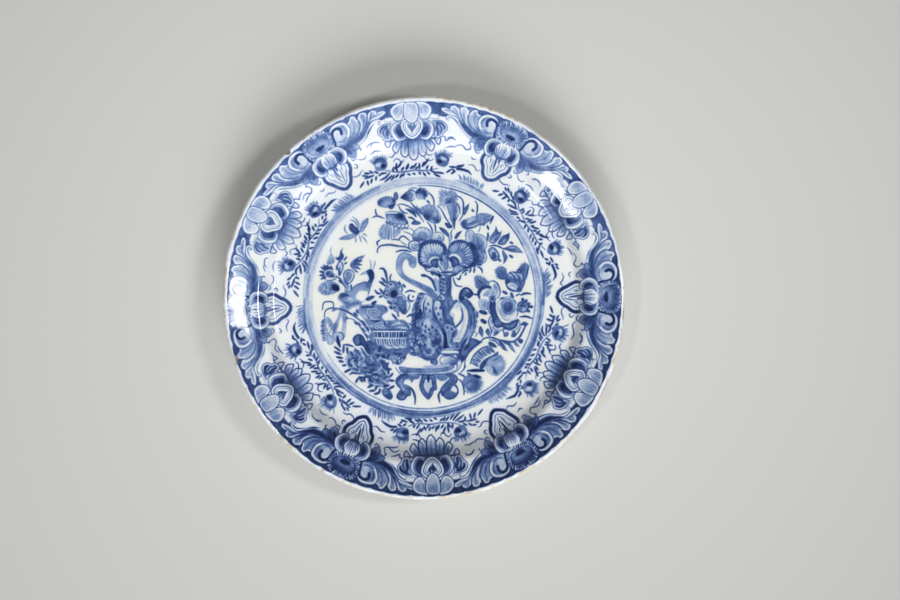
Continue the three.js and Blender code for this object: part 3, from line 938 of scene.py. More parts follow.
def paint_comb_fan(brush):
    """The fringed flower with the long streaked petal."""
    brush.shape(
        PALE,
        "14.4,80.4 13.8,86 14.4,92 18,92.8 22.6,92 27,91.6 29.4,87.6 28.4,83.6 25,81.6 20,81 17,79.4",
        soft=1.4,
    )
    brush.hatch(
        BLUE,
        0.65,
        "17.4,81.6 16.6,84.6 17.6,88 20.6,88.6 24,87.6",
        "12.8,79.8 12.6,86.6 13.2,93.6 18,94.6 23.4,93.8",
        15,
        ends=(0.5, 0.6),
    )
    brush.hatch(MID, 0.9, "23,86.4 25.4,86 26.4,84.6", "24,93.4 28,92 30.4,87", 9)
    brush.lines(BLUE, 1.1, "21,91.6 23.4,92.6 26.6,91.6 28.8,88.8", soft=0.8)
    brush.shape(DARK, "18.4,83.6 20,85.6 23,86.2 25.6,84.8 24.8,82.2 22,81.6 19.4,81.8", soft=1)
    petal = "18.6,81.6 16.6,79.4 19.4,75 22,69.6 24.6,65 26.4,60.4 27.6,66 30,71 30.8,76.6 29.6,81 26,83"
    brush.shape(PALE, petal, ((0.7, BLUE),), ("19,76 29,72", MID))
    brush.hatch(WHITE, 0.9, "17.8,79.4 20.4,81 23,81", "22.6,69 24,67.6 25.2,66.6", 5, ends=(0.7, 0.5))
    brush.hatch(
        BLUE,
        0.9,
        "20,80.4 23.4,81.4 26.6,81.4 29.4,79.4",
        "23.6,68.4 25,66.6 26.6,66 28.6,69.6",
        7,
        ends=(0.9, 0.6),
    )
    brush.lines(DARK, 1.6, "25.6,71 26.6,66.6 26.6,60", soft=0.9)
    brush.lines(WHITE, 1.1, "29.6,79.6 30,75 28.8,70.6", soft=0.7)
    brush.lines(BLUE, 1.2, "26.8,84 29.6,81.6 31.4,77.6 31.6,73")
    brush.shape(BLUE, "35.4,72 34.4,76 36.4,79.4 39.6,82.2* 39.2,78.4 37.4,74.6", ((0.7, DARK),))


def paint_right_leaves(brush):
    """The long bud with the hatched tip, and the leaves that fall from it on the right."""
    brush.shape(
        MID,
        "33,65 35.4,67.8 40,69.8 46,71.4 49,68 49,64 44,61.6 38,60 34,61.6",
        ((0.6, BLUE),),
        ("40,69 44,62", BLUE),
    )
    brush.hatch(PALE, 0.9, "36.6,67.4 40,69.2 46,70.8", "40,66 43,67.6 47,68.6", 5, ends=(0.5, 0.5))
    brush.lines(FAINT, 1.2, "39.6,62 44,62.8 47.6,64.6; 37.6,65.2 41,66.6", soft=0.8)
    brush.lines(DARK, 1, "38.4,64 43,65.4 47,67; 37.6,60.2 43,61.2 48.6,63.8", soft=0.7)
    brush.shape(DARK, "32.8,64.4 34.8,67 37,66.4 36.8,62.6 34.6,61.4", soft=1)
    brush.shape(
        PALE,
        "46.4,71.4 49,73.4 55,73.4 61,71* 58.4,67.4 55,65.4 51.6,63.6 48,63.6 46.6,67",
        ((0.8, BLUE),),
    )
    brush.hatch(
        BLUE,
        0.7,
        "47.4,71.6 50,73 55,72.8 59.6,70.8",
        "47.4,65 49,63.4 52.4,64 56.6,66.4",
        8,
        ends=(0.9, 0.7),
    )
    brush.hatch(BLUE, 0.65, "47.4,66 47.6,69 49,72.6", "53.4,64.6 57,66.8 59,69.6", 4, ends=(0.7, 0.7))
    brush.lines(DARK, 1.5, "48.6,63 50.8,64.4; 51.6,63 53.6,65", soft=0.8)
    brush.lines(
        DARK, 1.4, "61,71 59.2,67.6 57.8,64.4; 45,84 46.4,81.6 46.8,77 45.8,71.4; 34.6,61 38,60 43.6,61.4"
    )
    brush.lines(DARK, 2, "55.2,62.8 56.4,59.8; 56,56.4 55.9,53 54.8,49.6", ends=(0.6, 0.7))
    brush.lines(BLUE, 1, "49.4,62 48.6,59 47.6,57; 40,60 37,57.4 36,53")
    leaves = (
        "56.8,48.6 57.8,53 60,56 62,58.6 63,62.4* 64.2,59 66,57 67.8,58.6* 67,54 64,50 61,47.2",
        "64.8,47 66,51 69,54 72,55.2 74.6,56.6* 74.6,52 73,49 70,46.2",
        "67.8,42.8 72,44.2 76,45.4 80,45.2 83,43 86.6,39* 82,39.2 76,40 72,41.4",
        "68.8,41.4 71.6,38 73.2,35 71,31 69.2,29.6* 69.4,34 68.6,38",
    )
    fades = ("60,50 65,57", "67,48 72,54", "80,44 76,41", "70,40 71,33")
    for leaf, tones, fade in zip(leaves, ((PALE, BLUE), (MID, DARK), (MID, DARK), (BLUE, DARK)), fades):
        brush.shape(tones[0], leaf, ((0.8, DARK),), (fade, tones[1]), soft=0.6)
    brush.lines(
        DARK,
        1,
        "58.6,50 61,53.6 64.6,56; 61.4,49.6 63.6,52.6; 67,48.6 70,51.4; 71,43 75,42.6 80,42.8",
        soft=0.7,
    )
    brush.lines(PALE, 1, "60,50.5 62.5,54; 68.6,48.4 71.6,51.6; 74,43.6 79,43.4", soft=0.8)
    brush.dabs(DARK, 2.2, "75.6,48.4 78,47.2; 75,36.8 78,34.6; 65.4,33.4 67.2,31.6")
    brush.lines(DARK, 1.4, "57,45 62,45.6 67,44 70,42")
    brush.shape(
        PALE,
        "56,41 58.6,44 62,43.4 65.2,39.4 66.2,35 63,32 59.8,32.8 57.6,36",
        ((1, DARK),),
        ("58,42 62,35", MID),
    )
    brush.shape(DARK, "59.4,38.6 61.4,40 63.4,37.6 63,34.6 60.6,33.6 59.4,35.6", soft=1.4)
    brush.lines(DARK, 0.9, "57.6,40.6 60,42 62.6,41.4; 64.6,38 65.2,35.4", soft=0.7)
    brush.lines(WHITE, 1, "59,41 61,42; 64,37 64.2,39", soft=0.7)


def paint_back_petals(brush):
    """The petals that show above and beside the two lobes of the large flower."""
    petal = "-9.6,52 -9.4,56 -7,59.6 -3,61.6 2,61 6,58.4 7.4,54 6.6,50 -2,49.4 -7,49.8"
    brush.shape(PALE, petal, ((0.8, BLUE),), ("-7,57 4,52", MID))
    brush.shape(MID, "-4.4,51 -5,54.6 -2.6,57.6 1,57 2.4,53.6 1.6,50.4", ((0.7, BLUE),), soft=0.8)
    brush.hatch(FAINT, 0.9, "-6.6,58.6 -3,60.4 1.4,59.8 5,57.4", "-5.6,55 -3.4,57.6 1,57.6 2.8,54.6", 8)
    brush.lines(DARK, 2.2, "-8.6,51.4 -6,50.6 -3,50.2", soft=1)
    brush.shape(
        PALE,
        "7.4,50 7.2,53.6 9,56.4 12.6,57.6 16,56 17.8,53 17.4,49.6 12,48.6",
        ((0.7, BLUE),),
        ("9,55 15,50", MID),
    )
    brush.lines(WHITE, 1.3, "9,55 12.4,56 15.4,54.6 16.6,51.6; 10.4,53 12.4,54")
    brush.lines(WHITE, 2, "18.6,55.6 20.6,52.6 21,48.6 19.8,45.8")
    brush.lines(
        BLUE, 1, "17,56.6 20.4,54.6 22.4,50.6 22,46.4; 23.6,57 24.4,53 23.6,49.6; 25,60 23.8,56 23.4,52"
    )
    brush.shape(
        FAINT,
        "-13.4,44.6 -12.6,48.4 -9,50 -5,49.4 -2.6,46.4 -3.4,42.4 -6.6,40.6 -11,41.4",
        ((0.8, DARK), (0.8, WHITE)),
        ("-11,48 -6,43", MID),
    )
    brush.lines(BLUE, 1.4, "-10.6,44 -8,42.8 -5.4,43.6; -8,45.6 -5.4,46 -3.6,45", soft=0.9)
    brush.shape(
        DARK,
        "13.6,61.4 17,60.4 20,58.2 22.2,55 21.6,53.2 18,55.4 15.4,58",
        ((0.6, NAVY),),
        ("15,60 21,55", BLUE),
    )
    brush.shape(DARK, "18.6,65.2 22.8,64.4 25,61.6 22,60.6 19.6,62.4", ((0.6, NAVY),), ("19,65 24,61", BLUE))
    brush.shape(DARK, "26.8,51.8 28,55 30,57.2 33.4,58.4* 31.2,54.6 28.6,51.2")
    mass = (
        "36.8,47 36.4,51 37,55 39.4,58.6 42.4,58.6 45,56 48,55.6 52,54.2 55,50.4 55.4,46 53.4,40.8 55,36.6 "
        "54.4,32 50.6,29.4 46,28.6 42,36"
    )
    brush.shape(PALE, mass, ((0.8, BLUE), (0.7, WHITE)), ("53,50 45,42", MID))
    brush.shape(FAINT, "37.8,48.6 37.8,53 40,56.8 42.6,56 41.4,52 41,48", ((0.5, MID),), soft=0.7)
    brush.lines(BLUE, 1, "39.4,50 39.8,53.6 41,56; 45.6,56 46.6,52 46,48; 43,49 44,52.6 43.6,56")
    brush.hatch(
        BLUE, 0.9, "47.4,53.6 50,52 52.2,49 52.6,45", "46.4,46.4 47.4,45 47.8,43.4 48,42", 7, ends=(0.3, 1)
    )
    brush.hatch(BLUE, 0.9, "52.4,38 53.2,34.6 51,31", "47.6,39 47.6,35.6 47,32.6", 5, ends=(0.4, 1))
    brush.lines(DARK, 2.2, "53,39.2 51.4,41 49.6,41.4; 48.6,29.6 50.4,31.6", soft=1)
    brush.lines(DARK, 5, "40.6,47.8 43.6,44 45.6,38.6 46,32.6 44,28", soft=1.6)


def paint_big_flower(brush):
    """The two ribbed lobes of the large flower behind the vase, each with a dark hollow."""
    paint_back_petals(brush)
    left_lobe = (
        "-4.4,30 -5.2,36 -4.6,43 -2.4,47.4 3,49.8 9,50.2 14,49.4 18,46.6 20.4,42 19.6,37.6 17,33 12,26 "
        "6,25 0,26.4"
    )
    brush.shape(BLUE, left_lobe, ((3, DARK),), ("14,40 0,30", MID), soft=0.7)
    brush.lines(DARK, 3.4, "-3,46 3,48 9,48.2 14,47.2 17.6,44 18.6,39", soft=1)
    brush.hatch(
        WHITE,
        1.5,
        "0.4,44.6 4,46.4 8.6,46.8 12.6,46.4 15.6,44",
        "2.6,40.6 5,41 8.6,41.4 12.4,41 15.6,39.4",
        8,
    )
    brush.hatch(
        PALE, 0.9, "0,43 4,44.6 8.6,45 12.6,44.6 15,42", "3.4,37.6 5.4,38.2 8.6,38.6 11.6,38.2 14,36.8", 13
    )
    brush.hatch(FAINT, 1.2, "-1.4,42.4 -2.2,38 -2.4,33.6 -0.6,29.6", "1.2,39.6 1.4,36 1.8,33 3,30.6", 6)
    brush.lines(WHITE, 1.5, "4.4,30.2 5.4,33.2 8.4,35.2 12.8,35.2", ends=(0.8, 0.5))
    brush.shape(DARK, "6.2,30.4 7.6,33 10,34 12,33 12.4,29.6 11.6,26.6 8,27.2", ((0.7, NAVY),), soft=0.8)
    brush.lines(BLUE, 1.6, "8.4,30.6 10,31", soft=1)
    brush.lines(BLUE, 1.2, "3.4,30 4.6,34 7.6,36.6 13,36.8 15,35.4", soft=0.8)
    right_lobe = (
        "20,34 20.4,40 22.6,46.4 27,49.8 33,50.6 38,48.6 42.6,45 45.6,39 46,32.6 43.4,27.6 38,25 31,24.6 "
        "24,27"
    )
    brush.shape(BLUE, right_lobe, ((3, DARK),), ("28,42 36,30", MID), soft=0.7)
    brush.hatch(
        PALE,
        1.2,
        "22.8,42.6 26,46.2 31,47.4 36,46.8",
        "25.4,40 27.6,41.4 30.4,42 33,41.6",
        9,
        ends=(0.9, 0.4),
    )
    brush.hatch(
        WHITE,
        1.4,
        "35,47 39.6,43.6 42,37.6 41.8,32.4 39,27.8",
        "32.4,43 35.4,40 36.6,36 36.4,32.6 35,29.6",
        12,
    )
    brush.hatch(
        DARK, 0.7, "31,48 38,45.6 42.6,39.6 42.6,33 40,27.4", "30,41 34,39 35.4,36 35.4,33 34.4,30.6", 14
    )
    brush.lines(WHITE, 1.8, "22.6,35.8 25,37.4 28.6,36.8 31.6,33.8 32.8,31", ends=(0.7, 0.5))
    brush.shape(
        DARK,
        "22.8,34.2 25,35.8 28,35.2 30.6,31.8 30.8,28.4 28,26.6 25,28.4 24,31.4",
        ((0.8, NAVY),),
        soft=0.8,
    )
    brush.lines(BLUE, 2, "27,33 28.6,30", soft=1.4)
    brush.lines(BLUE, 1.2, "21.6,37 25,39 29.6,38.4 33,35.2 34.4,31", soft=0.8)


def paint_flower_base(brush):
    """The narrow petals and the calyx where the large flower meets the vase."""
    brush.shape(
        PALE,
        "0.4,26.8 4,26 8,27.6 11,25.6 14,22 14.6,19 10,20.4 6,22.2 2,23.4",
        ((0.8, DARK),),
        ("4,26 12,21", MID),
    )
    brush.lines(WHITE, 1.2, "8.4,26.2 10.6,25 12,23.4; 3,24.8 6,24.2", soft=0.8)
    brush.shape(BLUE, "24,22 27,27.6 31,28.6 35,27 34,23.6 30,21.4 26,20.2", ((0.7, DARK),), soft=0.7)
    brush.hatch(PALE, 1, "25,22.8 28,21.8 31,22.6", "28,27 31,27.6 34,26", 5, ends=(0.6, 0.5))
    brush.shape(
        FAINT,
        "12,31.6 14,33 16.2,30.6 17.8,26.6 18.4,23 15,23.6 13,27",
        ((0.7, BLUE),),
        ("14,30 17,24", PALE),
    )
    brush.lines(BLUE, 1, "13.4,28.6 15,25.6 16.4,23.6; 14.6,31 16,28.6")
    brush.shape(PALE, "15.6,36.4 17.4,38.6 19.4,36.6 21,31.6 21,26 19,24 17.6,29 15.8,33", ((0.9, DARK),))
    brush.lines(BLUE, 0.9, "17.4,36 19,31 19.8,26.6", soft=0.7)
    brush.shape(FAINT, "20.4,34.6 22,32.8 24.2,31 24.6,27.6 22.8,24.8 21.2,28", ((0.7, BLUE),))
    brush.lines(
        DARK, 2.6, "6.6,22.8 10.6,20.8 14,19.2; 15.4,21.8 19.4,22.4 24,22.2", ends=(0.5, 0.8), soft=0.9
    )
    brush.shape(NAVY, "12.8,20 14.4,20.6 15.8,19 14.4,17 13,18.2", soft=0.8)
    brush.lines(DARK, 2, "15,18.4 20,18.4 25,19.4 30,21.6 31.8,24.6", ends=(0.8, 0.4), soft=0.8)
    brush.lines(FAINT, 1.4, "16.4,19.6 20,20.1 24.4,21.2")
    brush.lines(
        DARK,
        1.6,
        "40,22 41.2,25.4; 43.8,22 44.6,26; 47,27.2 50,25 51.2,21.6; 47,29 50.4,28.4; 29,17 31,16.2 32.4,20",
    )
    brush.lines(DARK, 1.6, "33.5,21 36,23.6 38.6,24; 36,19.6 37.4,22")


def paint_vase_neck(brush):
    """The dotted neck of the vase and the stems beside it."""
    brush.lines(DARK, 2.2, "-1.4,20 3,18.6 7,15.6 9.2,11 10.6,6.4", ends=(0.4, 0.7))
    brush.lines(DARK, 1.3, "26,17.4 27,13 29,10.6 33.4,9.8; 6,22 8.4,19.6")
    brush.shape(
        FAINT, "14.6,19.4 13.6,12 14,4 12.6,-2 24.6,-2 23.6,4 24,12 23.4,19.4", ((0.9, DARK),), soft=0.6
    )
    brush.shape(BLUE, "18.6,19 23,19 23.4,12 23,4 24,-2 18.4,-2 18.8,8", soft=0.8)
    brush.lines(DARK, 2.2, "22,17 22.4,10 22,2", soft=1)
    dots = (
        "15.4,17 16.6,15.6; 16.4,13 17.6,11.4; 15,10.4 16.2,9; 16.6,7.4 17.6,5.6; 15.2,4.4 16.4,2.6; "
        "14.4,0.6 16,-0.8"
    )
    brush.dabs(BLUE, 2.4, dots)
    brush.dabs(
        DARK,
        1.4,
        "17.4,16.4 17.8,14.4; 15,14.2 15.6,12.8; 17.4,9.6 17.8,8; 15.2,7.2 15.8,5.8; 17.6,3 17.8,1.2",
    )


def paint_right_bird(brush):
    """The head of the bird on the right, the fringed leaf above it and the blossom beside it."""
    leaf = "43.8,17.4* 46.6,19 50,18 54,15.6 57,13.6 56.6,10.4 52,9 48,7.6 45.4,9.4 44.6,13"
    brush.shape(MID, leaf, ((0.7, BLUE),), ("48,12 52,17", PALE))
    brush.hatch(BLUE, 0.7, "47.4,8.4 50,9.4 54,10", "44,18.6 49,20 56,15.4", 11, ends=(0.9, 0.6))
    brush.lines(DARK, 1.2, "56,13.2 60,14.8 64,12.6 66.2,8 66.2,3 64,-0.6; 46,16.6 49.6,14 51,11")
    brush.shape(MID, "58.6,12.4 61.4,13.2 64.2,10.4 65,5 63.6,1 62,4 60.6,8", ((0.8, PALE),), soft=0.7)
    brush.shape(WHITE, "57.6,11.6 59,13.6 61,12.4 60,9.8 58.4,9.6", soft=0.8)
    brush.shape(
        PALE, "51,1.6 53.4,5.4 57.4,8 60.6,8.4 63,5.4 63,0.8 59,-0.8 55,0.6", ((0.8, FAINT), (0.5, MID))
    )
    brush.lines(BLUE, 0.9, "54.6,2.6 57,4.4; 58.6,2 60.8,5", soft=0.7)
    brush.lines(DARK, 3, "48.6,-0.4 48,4 50.4,8 54.6,9.6 57.8,9", ends=(0.5, 0.8), soft=0.8)
    brush.shape(NAVY, "58,-2.4 58.4,0.4 60.6,1 62,-0.6 61,-3", soft=1)
    brush.shape(
        DARK,
        "30.6,-1 31.6,5 35,8.8 38,9.2 41.2,7.2 43.4,3.6 41.4,0.8 39,-0.4 36,1.2 34,-1.6",
        ((0.8, NAVY),),
    )
    brush.shape(BLUE, "33,2 35,6 38,7.6 40,5 37,4 35.6,1", soft=1.4)
    brush.lines(PALE, 1.1, "36.4,6.4 38,6.8 39.4,5.4", soft=0.6)
    brush.lines(DARK, 1.6, "42.6,3.2 45.6,2.8 48.4,2")


def paint_tulip(brush):
    """The striped tulip with a comb of petals on either side."""
    brush.shape(
        MID,
        "62.6,24.8 65.6,26.8 70,26.8 72.4,23 72.6,18 70,15.4 66,16.6 63.8,20.6",
        ((0.7, BLUE),),
        ("64,25 70,18", BLUE),
    )
    brush.hatch(DARK, 0.7, "65.4,17 67.6,16 70.6,16.6", "62.2,24.4 66,28.2 71.6,26.2", 9, ends=(0.7, 0.5))
    brush.hatch(BLUE, 0.7, "65.6,17.4 64.6,20.6 63.8,23.6", "63.6,16.6 62.4,20 61.6,23.6", 7, ends=(0.8, 0.5))
    brush.shape(MID, "82,22 84,26.2 86.6,29.4 90.6,29.4 91.2,24 90.2,18 88,15 85,18", ((0.7, BLUE),))
    brush.hatch(DARK, 0.8, "84,21 86.4,18.6 89,17.4", "82.6,26 87,31 91.8,28", 8, ends=(0.7, 0.5))
    brush.shape(
        BLUE,
        "71,14 72,19.4 75,22.4 79,23 83.6,22.6 87,20 88.2,14 86.4,8.6 83,5.4 79,5.6 74,8",
        ((0.9, DARK),),
    )
    brush.shape(
        WHITE,
        "72.4,12 76,14 80.4,12.6 82.4,9 80,6.4 76,7.4 73.2,9.4",
        ((0.6, BLUE),),
        ("75,8 79,13", PALE),
        soft=0.6,
    )
    brush.lines(MID, 1, "74.6,10.6 78,10.4 81,8.4", soft=0.8)
    brush.lines(
        PALE,
        1.5,
        "73.6,20.6 76.4,19.4 78.6,17; 77,21.6 80,19.8 81.6,16.6; 81.6,21 84.6,19.4 85,16",
        soft=0.8,
    )
    brush.lines(DARK, 1.1, "75.4,21.6 78,19 79.6,16; 79.6,21.8 82.4,19 83,15; 84.4,14 84,10", soft=0.7)
    brush.shape(DARK, "81,22.6 82,25 84.8,24 84,21.4", ((0.6, NAVY),), soft=0.8)
    brush.lines(NAVY, 2, "72.2,14.6 74.4,14.6; 82.4,7.6 84.4,6.4", soft=1)
    brush.lines(DARK, 1.3, "71,14 72.4,9.6 75.6,6.6 79.6,5.4; 66.4,-0.6 70,0.4; 80,1.6 83.6,3.6")
    brush.dabs(DARK, 2.6, "69.2,5.4 73,3.4; 76.4,3.6 77.8,-0.6")
    brush.lines(DARK, 2, "84,2 88.4,3.8 93.2,3.6", ends=(0.4, 0.6))


def paint_tail_and_hook(brush):
    """The hooked stem, the bands of the left bird's tail and the feather under it."""
    brush.shape(
        BLUE,
        "-74.2,-0.5 -71,-3.6 -68.4,-8 -67.4,-11 -64.6,-9.4 -61,-7.4 -55,-6 -56,-3 -62,-3 -68,-2",
        soft=1,
    )
    brush.shape(
        MID,
        "-72.4,-7 -68.6,-8 -70.6,-14 -73,-20 -75.4,-26.4 -78.6,-28.6 -78,-23 -74.6,-15",
        ((0.9, PALE),),
        soft=0.8,
    )
    brush.shape(
        PALE,
        "-69.4,-9 -67.4,-12 -67.2,-20 -67.6,-28 -68.6,-34.6 -71.2,-31 -70.4,-22 -70.6,-14",
        ((0.8, MID),),
    )
    brush.lines(BLUE, 2.2, "-69,-14 -69,-21; -78.4,-23.4 -77.6,-29; -75.6,-22 -78,-30", soft=1)
    brush.lines(DARK, 1.3, "-88,-10.4 -87.6,-6 -86,-3.8 -82,-3.2 -79,-4 -78.4,-6.4 -79,-8.8")
    brush.lines(
        DARK, 1.4, "-86,-19 -86.2,-14.4 -85,-10.8 -82,-9.2 -78,-8.8 -72,-10 -66,-12.2 -60,-16.2 -53,-21.4"
    )
    brush.dabs(BLUE, 2.4, "-75.6,-9.6 -80.2,-11.6")
    brush.shape(
        PALE,
        "-87.4,-18 -84,-16.6 -80.6,-19 -78.8,-24 -80.4,-28 -82,-32 -84.4,-36.6 -87,-37.4 -87.6,-28",
        fade=("-87,-25 -81,-25", MID),
    )
    brush.hatch(
        DARK, 0.8, "-86,-19 -86.4,-27 -85.4,-36.6", "-89,-19.6 -89.6,-27.4 -88,-37.6", 15, ends=(0.6, 0.5)
    )
    brush.lines(WHITE, 1.6, "-83.6,-22 -83.4,-27; -81.6,-25.6 -82.6,-30", soft=0.8)
    for lobe in (
        "-84,-33 -81,-32.4 -78.4,-35 -78.6,-39.6 -82,-41 -84.2,-38",
        "-79.6,-31 -76,-29.6 -72.6,-31 -70.6,-35 -73,-39 -77.4,-37.6",
    ):
        brush.shape(PALE, lobe, ((1.1, MID),))
    brush.lines(NAVY, 2.8, "-75,-33.6 -74.6,-38 -72.8,-42.6", soft=0.9)
    brush.lines(DARK, 1.2, "-74.4,-29.8 -71.4,-30.6 -69.6,-33.4 -70.6,-37")


def paint_rocks(brush):
    """The rocks with a fence and a ladder of bars, and the dark ground under them."""
    brush.shape(
        MID,
        "-58,-9 -54,-6.4 -48,-5.6 -40,-6 -33,-7 -31,-11.6 -36,-15.4 -34.4,-19.4 -30,-19.6 -22,-18.8 "
        "-16,-20 -12,-26 -12,-38 -14,-45 -30,-45 -44,-44 -49,-36 -47,-30 -52,-25 -56,-17",
        fade=("-50,-8 -20,-30", BLUE),
        soft=0.8,
    )
    top = "-56,-9 -46,-7 -34,-8 -38,-16 -30,-20 -16,-22 -15,-27 -46,-28 -54,-20"
    brush.speckle((BLUE, MID, PALE), 2.2, top, 60)
    rings = (
        "-49.6,-13 -47,-9.8 -41,-9.6 -37.4,-12.4 -40,-16.4 -46,-16.8",
        "-43,-24.4 -40,-21.6 -35,-21.4 -32,-24 -35,-27.4 -40.6,-27.6",
    )
    for ring in rings:
        brush.shape(MID, ring, ((0.9, FAINT), (0.8, BLUE), (0.7, FAINT)))
    brush.lines(
        FAINT,
        1,
        "-28,-24.4 -24,-22.4 -17,-22.8; -24,-26.4 -20,-25.4 -15,-25.6; -20.6,-27 -15.6,-26.6; -46,-18.4 "
        "-38,-18.6",
    )
    brush.lines(
        DARK,
        1.5,
        "-46,-19.6 -42,-20.6 -38,-19.6; -53,-9 -50,-8 -44,-8; -33.6,-8 -33,-11.6; -34,-21 -33,-25",
        soft=0.8,
    )
    brush.lines(DARK, 1.3, "-46,-27.6 -30,-28 -15,-28")
    brush.shape(FAINT, "-43,-30.2* -15.6,-30* -15.6,-34.2* -42,-34.4*", soft=0.8)
    brush.hatch(DARK, 1.5, "-41.6,-30.4 -16.4,-30.2", "-41.4,-34 -16.4,-33.8", 13, ends=(1, 1))
    brush.lines(WHITE, 1.2, "-44,-29.2 -30,-29.3 -15.6,-29.1; -42.4,-35 -30,-35.2 -15.6,-35", ends=(0.8, 0.8))
    brush.shape(MID, "-44,-35.9* -15.6,-35.7* -15.6,-40.6* -38,-41*", soft=0.8)
    brush.hatch(DARK, 1, "-42,-36.2 -17,-36", "-41,-40.4 -17,-40.2", 13, ends=(1, 0.6))
    brush.hatch(FAINT, 0.9, "-41,-36.2 -16,-36", "-40,-40.4 -16,-40.2", 13, ends=(1, 0.8))
    brush.shape(PALE, "-34,-41.4 -31,-43.6 -26,-43.8 -20,-43.6 -16,-43 -16,-41.2 -25,-41.6", soft=1)
    brush.lines(
        WHITE,
        1.3,
        "-33.6,-41 -31,-43.2 -28,-43.2; -27,-41.6 -24,-43.2 -21,-42.8; -20.4,-41.6 -18.4,-43.2 -15.8,-42.6",
        soft=0.8,
    )
    ground = (
        "-51,-39.6 -47.6,-36.8 -43,-39 -38,-42.4 -32,-44.4 -24,-44.4 -15,-43.6 -12,-46 -15,-50 -19,-53 "
        "-24,-52.4 -29,-54.4 -34,-53.2 -41,-50.6 -47,-49.4 -49.6,-45"
    )
    brush.shape(DARK, ground, fade=("-48,-40 -22,-50", BLUE))
    brush.speckle(
        (BLUE, DARK, BLUE, NAVY), 2.2, "-46,-42 -36,-45 -20,-46 -16,-49 -26,-52 -36,-52 -46,-48", 44
    )
    brush.lines(MID, 1.8, "-42,-47.4 -38,-48 -34,-47; -30,-51.4 -26,-50.6; -24,-46.6 -19,-47.4", soft=1.2)
    brush.shape(
        DARK,
        "-28.6,-54 -26.6,-57 -22,-58.4 -18.4,-56.4 -15.6,-51 -21,-51.4 -25,-53.6",
        ((0.7, BLUE),),
        soft=0.9,
    )
    brush.speckle((PALE, BLUE, MID), 1.5, "-28,-53 -22,-51 -16,-50 -17,-56 -22,-58 -27,-57", 22)
    steps = (
        "-65,-10 -60.6,-7 -55.4,-6.6 -56.6,-9.6 -59,-12.6 -55,-15.4 -51,-20.6 -46,-28.4 -47,-31 -51,-28 "
        "-57,-22 -61,-16.4"
    )
    brush.shape(WHITE, steps, soft=0.8)
    brush.lines(WHITE, 2.2, "-66,-16.6 -61,-18.4 -56,-23.4 -51,-29.6 -47.6,-36.6", ends=(0.7, 0.5))
    brush.lines(
        DARK,
        1.9,
        "-58.4,-10.8 -57.4,-13; -60.4,-13.2 -57.6,-15.6; -53.6,-20 -50,-24.4; -49.6,-25.4 -47.6,-28.4",
        ends=(0.8, 0.5),
    )
    brush.lines(
        DARK,
        1.7,
        "-57.6,-21.4 -54.8,-24.4; -53.6,-26 -50.6,-30; -50.6,-31.4 -48.4,-34.8; -60.4,-20.6 -58,-23.6",
    )
    brush.lines(
        BLUE,
        1.2,
        "-68,-12 -62,-15 -56,-19.4 -51,-25.4 -47.4,-30.6; -68,-18.4 -64,-18 -60,-20 -56,-24.4 -52,-31 "
        "-48.6,-36",
    )
    brush.lines(PALE, 1, "-63,-13.4 -58,-17 -53,-22.6; -58.4,-8.6 -57,-10", soft=0.7)
    brush.dabs(DARK, 2.6, "-67,-17.4 -69.6,-19.6; -48.4,-1.6 -42.6,1.4; -44.6,-5 -41,-3")


